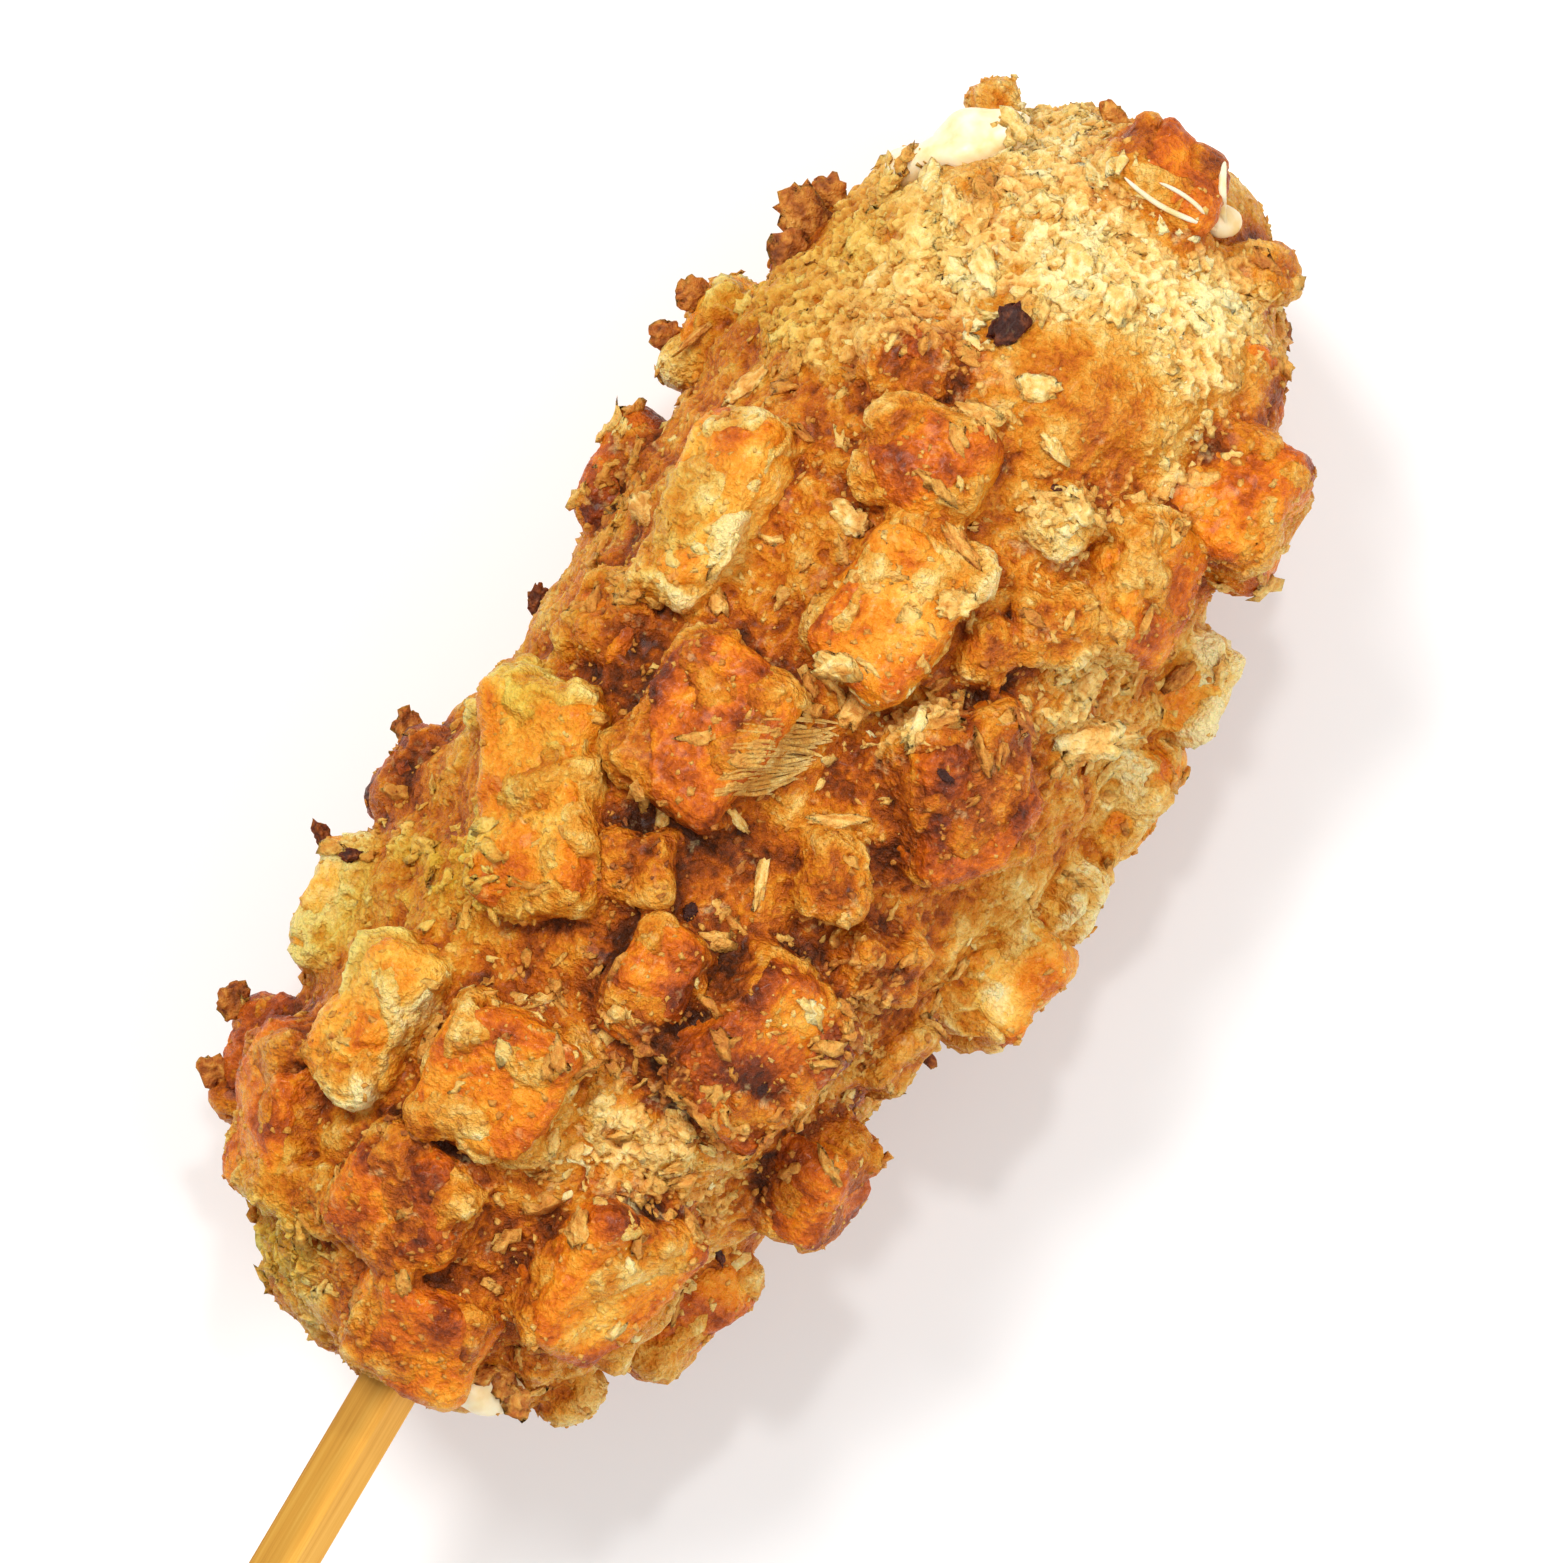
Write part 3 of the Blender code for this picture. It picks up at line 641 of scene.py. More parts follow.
def nearness(points, names, full_mm, none_mm):
    """For each point 1 where one of these nodes is closer than full_mm, and 0 where it is past none_mm."""
    _, gaps = nearest_node(points, names)
    return np.clip((none_mm - gaps) / (none_mm - full_mm), 0, 1)


def paint_attributes(mesh, roast, edge_roast_and_shade, olive_shade_share, crumb_level, valley_shade=0.0):
    """Stores what the fried finish reads: crests and edges from the shape, the rest from the lists.

    The crests give painted shade: paler where the skin stands out, darker in its dips. A negative share
    for the edges paints hollows darker and crests paler, as painted shade; a positive one browns the
    edges. Deep valleys are painted darker by their own share, as painted shade.
    """
    points, _ = points_of(mesh)
    # Painted shade: points that stand out from the smoothed skin are painted paler, and dips darker.
    store(mesh, "lift", np.clip(standing_out(mesh, CREST_ROUNDS) / CREST_MM, -1, 1))
    edges = np.clip(standing_out(mesh, EDGE_ROUNDS) / EDGE_MM, -1, 1)
    # Painted shade: deep valleys come out darker.
    if valley_shade:
        valleys = np.clip(-standing_out(mesh, VALLEY_ROUNDS) / VALLEY_MM, 0, 1)
        roast = roast + valley_shade * valleys
    store(mesh, "roast", np.clip(roast + edge_roast_and_shade * edges, 0, 1))
    store(mesh, "olive", np.clip(patched(points, OLIVE_SHADE_PATCHES) * olive_shade_share, 0, 1))
    store(mesh, "crumbed", np.clip(patched(points, PALE_CRUMBS, crumb_level), 0, 1))


def make_batter():
    """The batter's skin over the body and the blocks, with its relief and tones."""
    shapes = [merged_copy("batter")] + [merged_copy(name, OVER_POTATO_MM * MM) for name in POTATOES]
    batter = joined(shapes, "batter_crust")
    skin_over(batter, BATTER_VOXEL_MM, BATTER_ROUNDS)
    mesh = batter.data
    points, normals = points_of(mesh)
    under = nearness(points, POTATOES, *UNDER_REACH_MM)
    climb = CLIMB_MM + CLIMB_UNEVEN_MM * uneven(points, CLIMB_WIDTH_MM, 12)
    _, above = nearest_node(points, ["batter"])
    under = under * np.clip((above - climb) / CLIMB_FADE_MM, 0, 1)
    under_cheese = nearness(points, CHEESES, *CHEESE_REACH_MM)
    film = np.clip(uneven(points, FILM_WIDTH_MM, 11) * FILM_CONTRAST - FILM_LESS, 0, 1)
    tip = np.clip((points[:, 1] - spot(0, TIP_FROM).y) / (TIP_FADE_MM * MM), 0, 1)
    smooth = np.clip(patched(points, SMOOTH_PATCHES), 0, 1)
    heights = relief(points, *BATTER_RELIEF_MM, BATTER_SEED)
    heights = heights * (1 - TIP_CALM * tip) * (1 - PATCH_CALM * smooth)
    heights = heights * (1 - UNDER_CALM * under) - under * (UNDER_POTATO_MM - film * FILM_MM)
    heights = heights * (1 - under_cheese) - UNDER_CHEESE_MM * under_cheese
    push(mesh, normals, heights)
    tones, gaps = block_tones(points)
    full, none = TONE_REACH_MM
    close = np.clip((none - gaps) / (none - full), 0, 1)
    roast = patched(points, ROAST_PATCHES, BATTER_ROAST) + uneven(points, LUMP_MM, 21) * LUMP_ROAST
    roast += (tones - BATTER_ROAST) * close
    # On the batter, hollows and deep valleys are painted darker and crests paler: painted shade.
    paint_attributes(mesh, roast, edge_roast_and_shade=-0.16, olive_shade_share=1.0, crumb_level=0.10, valley_shade=0.12)
    return dress(batter, FRIED_BATTER, "batter", "batter")


batter_crust = make_batter()
print("batter:", len(batter_crust.data.polygons), "faces")

# %% [markdown]
# Each potato block keeps its own place and turn. Its CAD solid has eased edges, and a cut block of potato
# has crisp ones and a few broken corners. So a cube is cut down to the solid's own planes, and some
# corners are cut off. Then it gets the same treatment as the batter on a finer scale: worn corners,
# slightly buckled sides and a coat of small grains. The tones are given for the blocks that face up,
# because they differ a lot: some are pale gold, others are nearly brown.

# %% The potato blocks
POTATO_VOXEL_MM = 0.40
CUBE_MM = 40
EASED_WIDTH_MM = 2.6
SHARPENED_MM = 0.25
CORNER_CUTS = 6
CORNER_CUT_MM = (0.4, 2.7)
CORNER_TILT = 0.4
ROUGH_BLOCKS = (2, 4, 30, 31, 32)
ROUGHER = 1.7
POTATO_RELIEF_MM = (0.32, 0.24, 0.24)
POTATO_SWELL_MM = 0.15
BUCKLE_MM = 0.6
BUCKLE_WIDTH_MM = 6.0
TONE_WIDTH_MM = 4.5
TONE_CHANGE = 0.16


def cut_off(shape, point, way):
    """Cuts away what lies past this plane, and closes the cut."""
    cut = bmesh.ops.bisect_plane(
        shape,
        geom=shape.verts[:] + shape.edges[:] + shape.faces[:],
        plane_co=point,
        plane_no=way,
        clear_outer=True,
    )
    rim = [piece for piece in cut["geom_cut"] if isinstance(piece, bmesh.types.BMEdge)]
    bmesh.ops.edgeloop_fill(shape, edges=rim)


def sharp_block(name, rng):
    """The CAD block with its eased edges brought out again, and then some corners broken off flat."""
    eased = merged_copy(name)
    bmesh.ops.dissolve_limit(eased, angle_limit=math.radians(3), verts=eased.verts, edges=eased.edges)
    middle = sum((v.co for v in eased.verts), Vector()) / len(eased.verts)
    shape = bmesh.new()
    bmesh.ops.create_cube(shape, size=CUBE_MM * MM)
    bmesh.ops.translate(shape, vec=middle, verts=shape.verts)
    for face in eased.faces:
        width = face.calc_area() / max(edge.calc_length() for edge in face.edges)
        out = SHARPENED_MM * MM if width < EASED_WIDTH_MM * MM else 0
        cut_off(shape, face.calc_center_median() + face.normal * out, face.normal)
    eased.free()
    for _ in range(CORNER_CUTS):
        shape.verts.ensure_lookup_table()
        corner = shape.verts[rng.randrange(len(shape.verts))].co - middle
        tilt = Vector([rng.uniform(-CORNER_TILT, CORNER_TILT) for _ in range(3)])
        way = (corner.normalized() + tilt).normalized()
        reach = max((v.co - middle).dot(way) for v in shape.verts)
        cut_off(shape, middle + way * (reach - rng.uniform(*CORNER_CUT_MM) * MM), way)
    return shape


def make_potato(name):
    """The fried block that stands for this potato node."""
    number = int(name.split("_")[1])
    rng = random.Random(number)
    block = joined([sharp_block(name, rng)], "fried_" + name)
    skin_over(block, POTATO_VOXEL_MM, 1)
    mesh = block.data
    points, normals = points_of(mesh)
    rough = ROUGHER if number in ROUGH_BLOCKS else 1.0
    heights = POTATO_SWELL_MM + relief(points, *POTATO_RELIEF_MM, 3 + number) * rough
    push(mesh, normals, heights + BUCKLE_MM * uneven(points, BUCKLE_WIDTH_MM, number))
    roast = patched(points, ROAST_PATCHES, BLOCK_ROAST[number])
    roast += TONE_CHANGE * uneven(points, TONE_WIDTH_MM, 40 + number)
    paint_attributes(mesh, roast, edge_roast_and_shade=0.14, olive_shade_share=0.7, crumb_level=0.0)
    return dress(block, FRIED_POTATO, "potato", name)


blocks = [make_potato(name) for name in POTATOES]
print("potato blocks:", sum(len(block.data.polygons) for block in blocks), "faces in all")

# %% [markdown]
# Cheese has come through the coat at three places and set there. It is the one smooth thing here, so its
# pieces keep their plain form, softened, with a shallow wave and a sheen.

# %% The cheese
CHEESE_CLOUD_MM = 2.5


def cheese_finish():
    """Melted mozzarella: cream white, a little see-through, soft sheen."""
    settings = {
        "Roughness": 0.34,
        "IOR": 1.44,
        "Subsurface Weight": 0.3,
        "Subsurface Radius": (0.003, 0.002, 0.001),
        "Subsurface Scale": 1.0,
    }
    made, tree, shader = new_material("melted_mozzarella", settings)
    place = add(tree, "ShaderNodeTexCoord", {}).outputs["Object"]
    settings = {"Scale": 1 / (CHEESE_CLOUD_MM * MM), "Detail": 3.0}
    cloud = add(tree, "ShaderNodeTexNoise", settings, {"Vector": place})
    ramp = add(tree, "ShaderNodeValToRGB", {}, {"Fac": cloud.outputs["Fac"]})
    set_stops(ramp, [(0.32, linear("EFCB88")), (0.52, linear("F8E2B4")), (0.75, linear("FCEFD2"))])
    tree.links.new(ramp.outputs["Color"], shader.inputs["Base Color"])
    settings = {"Strength": 0.4, "Distance": 0.2 * MM}
    bump = add(tree, "ShaderNodeBump", settings, {"Height": cloud.outputs["Fac"]})
    tree.links.new(bump.outputs["Normal"], shader.inputs["Normal"])
    return made


MOZZARELLA = cheese_finish()
CHEESE_VOXEL_MM = 0.35
CHEESE_SWELL_MM = 0.25
CHEESE_WAVES_MM = (0.55, 0.2, 0.5)
CHEESE_WAVE_WIDTH_MM = 3.0
CHEESE_DIMPLE_MM = 0.08
CHEESE_DIMPLE_WIDTH_MM = 1.2


def make_cheese(name, wave_mm):
    """The melted piece that stands for this cheese node, with waves of this height."""
    cheese = joined([merged_copy(name)], name + "_melted")
    skin_over(cheese, CHEESE_VOXEL_MM, 4)
    points, normals = points_of(cheese.data)
    heights = CHEESE_SWELL_MM + wave_mm * uneven(points, CHEESE_WAVE_WIDTH_MM, 5)
    push(cheese.data, normals, heights + CHEESE_DIMPLE_MM * uneven(points, CHEESE_DIMPLE_WIDTH_MM, 6))
    return dress(cheese, MOZZARELLA, "cheese", name)


cheeses = [make_cheese(*pair) for pair in zip(CHEESES, CHEESE_WAVES_MM)]
print("cheese:", sum(len(cheese.data.polygons) for cheese in cheeses), "faces in all")

# %% [markdown]
# Breadcrumbs lie on top of everything, and pale ones lie thick near the tip. There they are one rough
# coat, which is raised from a finer copy of the batter's own skin and let down into it between the clumps.
#
# Loose crumbs are a handful of uneven pebbles, copied to thousands of places and joined into one mesh for
# each kind. To find a place, a ray goes from outside towards the body's axis and stops at the first
# surface, be it batter, potato or cheese. Pale flakes follow the list above, larger panko flakes also
# lodge beside the blocks, and golden grains are everywhere.

# %% Crumb shapes and places
AXIS_ACROSS = 2.5
AXIS_ALONG = 3
RAY_MM = 60
DOWN = Vector((0, 0, -1))
INSIDE_MM = 12
CAP_START = 48
CAP_ENDS = 76
RIM_GAP_MM = 1.1
RIM_WIDTH_MM = 0.9
UNDER_TIP_SHARE = 0.5
CRUMB_TILT = math.radians(28)
PEBBLE_BITES = ((1.6, 0.9), (3.4, 0.8))
CURL_RATE = 2.5
LOWEST_RELIEF_SHADE = -0.3
CRUMB_OLIVE_SHADE = 0.8


def bitten(way, shift, bites):
    """How far out a torn crumb reaches this way. Each bite is a pair of its rate and its depth."""
    return 1 + sum(depth * noise.noise(way * rate + shift) for rate, depth in bites)


def pebble(length, width, thickness, rng, detail=2, curl=0.0):
    """A torn crumb: a ball with deep uneven bites, pressed flat and curled."""
    shape = bmesh.new()
    bmesh.ops.create_icosphere(shape, subdivisions=detail, radius=0.5)
    shift = Vector([rng.uniform(0, 50) for _ in range(3)])
    for point in shape.verts:
        point.co *= bitten(point.co.normalized(), shift, PEBBLE_BITES)
        point.co.z += curl * noise.noise(Vector((point.co.x, point.co.y, 0)) * CURL_RATE + shift)
    bmesh.ops.scale(shape, vec=Vector((length, width, thickness)) * MM, verts=shape.verts)
    bmesh.ops.triangulate(shape, faces=shape.faces)
    points = np.array([v.co for v in shape.verts])
    faces = np.array([[v.index for v in f.verts] for f in shape.faces])
    shape.free()
    return points, faces


def surface_tree(objects):
    """One search tree over the outside of all these objects."""
    points, faces, first = [], [], 0
    for obj in objects:
        places, _ = points_of(obj.data)
        points.extend(map(tuple, places))
        faces.extend([i + first for i in polygon.vertices] for polygon in obj.data.polygons)
        first = len(points)
    return BVHTree.FromPolygons(points, faces)


def crumb_places(tree, tries, level, rng, rim_level=0.0):
    """Seeded places all over the food, kept as often as pale crumbs lie there, with level added.

    Beside a block of potato, where loose flakes lodge, rim_level is added too.
    """
    hits, normals = [], []
    for _ in range(tries):
        along = rng.uniform(-CAP_ENDS, CAP_ENDS)
        around = rng.uniform(-math.pi, math.pi)
        rise = math.radians(90) * max(abs(along) - CAP_START, 0) / (CAP_ENDS - CAP_START)
        flat = math.cos(rise)
        end = math.copysign(math.sin(rise), along)
        out = Vector((math.sin(around) * flat, end, math.cos(around) * flat))
        middle = spot(AXIS_ACROSS, max(-CAP_START, min(CAP_START, along)) + AXIS_ALONG)
        hit, normal, _, _ = tree.ray_cast(middle + out * RAY_MM * MM, -out)
        if hit is not None and (hit - middle).length > INSIDE_MM * MM:
            hits.append(hit)
            normals.append(normal)
    points = np.array(hits)
    _, gaps = block_tones(points)
    beside = np.clip(1 - np.abs(gaps - RIM_GAP_MM) / RIM_WIDTH_MM, 0, 1)
    shares = crumb_shares(points) + level + rim_level * beside
    return [(hit, normal) for hit, normal, share in zip(hits, normals, shares) if rng.random() < share]


def scatter(name, pebbles, places, rng, roast, size, sunk):
    """One mesh with a pebble at each place, each of its own size, turn and browning.

    roast gives the share of the local browning that a crumb takes, and the range that is added to it.
    """
    all_points, all_faces, roasts, relief_shades, first = [], [], [], [], 0
    local = patched(np.array([place for place, _ in places]), ROAST_PATCHES, BATTER_ROAST) * roast[0]
    for browning, (place, normal) in zip(local, places):
        points, faces = pebbles[rng.randrange(len(pebbles))]
        stretch = rng.uniform(*size)
        spin = Matrix.Rotation(rng.uniform(0, 2 * math.pi), 3, "Z")
        tilt = Matrix.Rotation(rng.uniform(-CRUMB_TILT, CRUMB_TILT), 3, "X")
        turn = normal.to_track_quat("Z", "Y").to_matrix() @ spin @ tilt
        at = np.array(place + normal * (0.5 - sunk) * stretch * MM)
        all_points.append(points * stretch @ np.array(turn).T + at)
        all_faces.append(faces + first)
        first += len(points)
        # Painted shade: each crumb is paler on top and darker underneath.
        height = points[:, 2] / max(np.abs(points[:, 2]).max(), 1e-9)
        roasts.append(np.full(len(points), browning + rng.uniform(*roast[1:])))
        relief_shades.append(np.maximum(height, LOWEST_RELIEF_SHADE))
    mesh = bpy.data.meshes.new(name)
    corners = np.concatenate(all_faces)
    mesh.from_pydata(above_table(np.concatenate(all_points)), [], corners)
    store(mesh, "roast", np.concatenate(roasts))
    store(mesh, "lift", np.concatenate(relief_shades))
    points, _ = points_of(mesh)
    store(mesh, "olive", np.clip(patched(points, OLIVE_SHADE_PATCHES) * CRUMB_OLIVE_SHADE, 0, 1))
    store(mesh, "crumbed", np.zeros(len(points)))
    obj = bpy.data.objects.new(name, mesh)
    bpy.context.scene.collection.objects.link(obj)
    return dress(obj, FRIED_CRUMB, "batter")


COAT_MM = 0.55
COAT_SUNK_MM = 0.35
COAT_LEVEL = 0.16
COAT_COVER = 0.84
# Width and share of each size of clump.
COAT_CLUMPS_MM = ((1.7, 1.0), (0.8, 0.8), (0.45, 0.5))
COAT_EDGE = 0.3
COAT_THIN_WIDTH_MM = 8.0
COAT_THIN = 0.12
CLUMP_SHARE = 0.45
RAISED_UNEVEN = 0.35
RAISED_WIDTH_MM = 0.8
KEPT_FROM = -0.7
# Name of each part, and where along the food it begins and ends.
COAT_PARTS = (("panko_clumps", 22, 90), ("crumb_clumps", -90, 22))
BROWNED_SHARE = 0.72
DIP_SHADE = 0.07
MOST_PALE = 0.85
UNDER_FADE_MM = 12
TIP_COAT_FROM = 40
TIP_COAT_FADE_MM = 6


def crumb_shares(points):
    """How thick the pale crumbs lie at these points, also under the tip, where the list has nothing."""
    below = np.clip((REFERENCE.z - points[:, 2]) / (UNDER_FADE_MM * MM), 0, 1)
    tip = np.clip((points[:, 1] - spot(0, TIP_COAT_FROM).y) / (TIP_COAT_FADE_MM * MM), 0, 1)
    return np.clip(patched(points, PALE_CRUMBS) + below * tip * UNDER_TIP_SHARE, -1, MOST_PALE)


def make_crumb_coat(base, name, first, last):
    """Clumps of crumbs, raised from a finer copy of the batter's own skin and let down between them."""
    shape = bmesh.new()
    shape.from_mesh(base.data)
    low, high = spot(0, first).y, spot(0, last).y
    beyond = [face for face in shape.faces if not low <= face.calc_center_median().y < high]
    bmesh.ops.delete(shape, geom=beyond, context="FACES")
    bmesh.ops.subdivide_edges(shape, edges=shape.edges, cuts=1, use_grid_fill=True)
    coat = joined([shape], name)
    points, normals = points_of(coat.data)
    clumps = sum(
        share * uneven(points, width_mm, 31 + i) for i, (width_mm, share) in enumerate(COAT_CLUMPS_MM)
    )
    shares = crumb_shares(points) + COAT_LEVEL + COAT_THIN * uneven(points, COAT_THIN_WIDTH_MM, 35)
    cover = np.clip((CLUMP_SHARE * clumps + shares - COAT_COVER) / COAT_EDGE, -1, 1)
    raised = COAT_MM * (1 + RAISED_UNEVEN * uneven(points, RAISED_WIDTH_MM, 34))
    heights = cover * np.where(cover < 0, COAT_SUNK_MM, raised)
    push(coat.data, normals, heights)
    shape = bmesh.new()
    shape.from_mesh(coat.data)
    kept = KEPT_FROM * COAT_SUNK_MM
    sunk = [face for face in shape.faces if max(heights[v.index] for v in face.verts) < kept]
    roast = shape.verts.layers.float["roast"]
    lift = shape.verts.layers.float["lift"]
    # Painted shade: the dips between the clumps are painted darker and their tops paler.
    for point in shape.verts:
        share = heights[point.index] / COAT_MM
        point[roast] = BROWNED_SHARE * point[roast] + DIP_SHADE * (1 - share)
        point[lift] = share
    bmesh.ops.delete(shape, geom=sunk, context="FACES")
    shape.to_mesh(coat.data)
    shape.free()
    return dress(coat, FRIED_CRUMB, "batter")


for part in COAT_PARTS:
    crumb_coat = make_crumb_coat(batter_crust, *part)
    print(crumb_coat.name, len(crumb_coat.data.polygons), "faces")

# %% [markdown]
# With the coat in place, one search tree over batter, potato and cheese tells where a loose crumb can
# land. Each kind of crumb has its own few shapes, number of tries, range of sizes and browning.

# %% Loose crumbs
surface = surface_tree([batter_crust, *blocks, *cheeses])
rng = random.Random(71)
flakes = [pebble(1.9, rng.uniform(0.9, 1.4), rng.uniform(0.5, 0.8), rng) for _ in range(10)]
grains = [pebble(1.0, rng.uniform(0.7, 1.0), rng.uniform(0.6, 0.9), rng, 1) for _ in range(8)]
pale_flakes = scatter(
    "pale_crumb_flakes",
    flakes,
    crumb_places(surface, tries=6000, level=0.04, rng=rng),
    rng,
    roast=(1.0, -0.28, -0.06),
    size=(0.35, 1.35),
    sunk=0.62,
)
curled = [pebble(3.0, rng.uniform(1.1, 1.8), rng.uniform(0.8, 1.2), rng, curl=0.7) for _ in range(12)]
panko = scatter(
    "panko_flakes",
    curled,
    crumb_places(surface, tries=4200, level=0.02, rng=rng, rim_level=0.30),
    rng,
    roast=(0.95, -0.14, 0.07),
    size=(0.4, 1.2),
    sunk=0.60,
)
golden_grains = scatter(
    "golden_crumb_grains",
    grains,
    crumb_places(surface, tries=9000, level=1.0, rng=rng),
    rng,
    roast=(1.0, -0.10, 0.04),
    size=(0.3, 0.9),
    sunk=0.62,
)
for made in (pale_flakes, panko, golden_grains):
    print(made.name, len(made.data.polygons), "faces")

# %% [markdown]
# The batter's skin had to be fine enough to carry its relief and the crumb coat that is raised from it.
# Now a Decimate modifier merges the points that its shape needs least, which makes the piece light and
# keeps its look. The values on its points are merged with them.

# %% A lighter batter
MOST_TRIANGLES = 190000


def thin_out(obj, most):
    """Merges points until the object has no more than this many triangles."""
    triangles = sum(len(face.vertices) - 2 for face in obj.data.polygons)
    thin = obj.modifiers.new("Thin", "DECIMATE")
    thin.ratio = min(1.0, most / triangles)
    bake_modifiers(obj)


thin_out(batter_crust, MOST_TRIANGLES)
print("batter:", len(batter_crust.data.polygons), "faces after thinning")

# %% [markdown]
# Some crumbs are big enough to know by sight: curled flakes, a burnt one near the tip, lumps at the rim.
# Each is placed one by one. A ray goes straight down to find the surface, or it comes in from the side at
# the crumb's own height where the crumb stands out from the rim. A row holds the place across and along,
# then the height in the rim's list, the length, the width, the turn in degrees and the browning, where 0
# is pale bread and 1 is burnt.

# %% Crumbs placed one by one
CRUMB_CURL = 0.9
CRUMB_MOTTLE = 0.3
CRUMB_BROWNER = 0.15
CRUMB_THICK_SHARE = 0.6
CRUMB_DEEPEST_SHARE = 0.45
RIM_SUNK_SHARE = 0.3
RIM_FACES = Vector((0.3, 0, 1))
MORE_UPRIGHT = Vector((0, 0, 0.6))
RAISED_SHARE = 0.2
HAND_BITES = ((1.4, 0.4), (3.2, 0.45), (7.0, 0.3))
MOTTLE_RATE = 2.5
FLAKES_BY_HAND = (
    (26.0, 18.5, 6.0, 4.0, -75, 0.08),
    (28.3, 20.5, 4.0, 2.2, -50, 0.10),
    (5.5, 43.5, 4.0, 2.4, 60, 0.10),
    (9.5, 39.5, 3.6, 1.4, 85, 0.12),
    (2.6, 12.4, 4.4, 3.0, 20, 0.12),
    (6.0, 10.0, 4.0, 2.6, -20, 0.22),
    (-3.0, 24.6, 3.6, 2.6, 30, 0.12),
    (-17.5, 30.5, 4.6, 2.0, -15, 0.16),
    (-20.0, 16.0, 3.6, 2.4, 40, 0.18),
    (1.5, -4.0, 4.0, 1.0, 60, 0.16),
    (6.5, -7.5, 6.0, 1.1, 75, 0.14),
    (10.0, 0.5, 5.0, 1.4, 20, 0.18),
    (2.3, 38.5, 4.4, 2.4, -5, 0.20),
    (6.5, 27.5, 5.0, 1.8, -10, 0.30),
    (9.0, 22.5, 3.6, 2.4, 60, 0.14),
    (23.0, 23.0, 3.6, 2.6, 10, 0.14),
    (14.0, 36.0, 3.8, 2.4, 30, 0.10),
    (12.5, 12.8, 2.6, 0.9, -40, 0.10),
    (-12.5, 55.5, 4.0, 2.6, 50, 0.02),
    (-9.5, 54.0, 4.2, 1.6, 60, 0.04),
    (-4.0, 50.5, 4.6, 2.4, 80, 0.02),
    (-12.0, 45.0, 3.8, 2.2, 10, 0.06),
    (3.0, 55.0, 4.2, 3.0, 20, 0.04),
    (8.0, 54.0, 4.4, 2.8, -30, 0.06),
    (-4.0, -7.5, 3.2, 1.2, 10, 0.20),
    (11.5, -31.0, 3.6, 2.0, 10, 0.16),
    (8.5, -43.5, 3.6, 2.4, 0, 0.24),
    (7.2, -60.6, 3.4, 2.6, 20, 0.40),
    (9.6, -60.2, 3.6, 2.4, -30, 0.48),
    (11.6, -61.0, 3.2, 2.4, 60, 0.36),
)
BURNT_BY_HAND = (
    (0.4, 47.2, 4.2, 3.0, 60, 0.92),
    (16.3, -24.0, 1.2, 1.0, 0, 1.0),
    (16.2, 8.8, 1.9, 0.8, 60, 1.0),
    (2.5, -13.5, 1.6, 1.2, 0, 0.9),
    (-27.5, -25.5, 1.8, 1.2, 30, 0.86),
    (12.0, 36.5, 1.4, 1.0, 0, 0.9),
    (21.0, -40.0, 1.8, 0.8, 80, 0.94),
)
RIM_BY_HAND = (
    (35.2, 0.8, -7, 4.4, 1.3, 95, 0.86),
    (-28.0, 32.6, 2, 4.2, 0.8, -20, 0.30),
    (-29.5, -25.5, -2, 3.6, 1.6, 60, 0.72),
    (-21.0, 47.5, 0, 6.0, 4.2, 60, 0.46),
    (-19.5, 44.0, 2, 4.0, 3.2, 10, 0.50),
    (-20.5, 51.0, -2, 4.4, 3.0, 80, 0.44),
    (-27.5, 36.0, -1, 3.4, 3.0, 40, 0.44),
    (-27.0, 31.5, -2, 3.0, 2.4, -20, 0.50),
    (-29.5, -43.0, -4, 3.6, 3.0, 30, 0.50),
    (-28.5, -49.5, -4, 3.4, 2.6, 80, 0.44),
    (-28.0, -12.5, -4, 3.4, 2.6, 50, 0.54),
    (22.5, 62.0, -6, 3.8, 3.0, 40, 0.56),
    (21.0, 67.0, -8, 3.6, 2.6, 70, 0.56),
    (-1.0, 69.5, 2, 3.4, 2.2, 80, 0.42),
    (34.0, 30.5, -6, 3.4, 1.4, 20, 0.26),
    (31.5, 12.0, -12, 3.6, 1.4, 40, 0.6),
    (33.0, -14.5, -8, 3.0, 1.2, 70, 0.62),
    (-31.0, 4.0, -4, 3.0, 1.8, 20, 0.74),
)


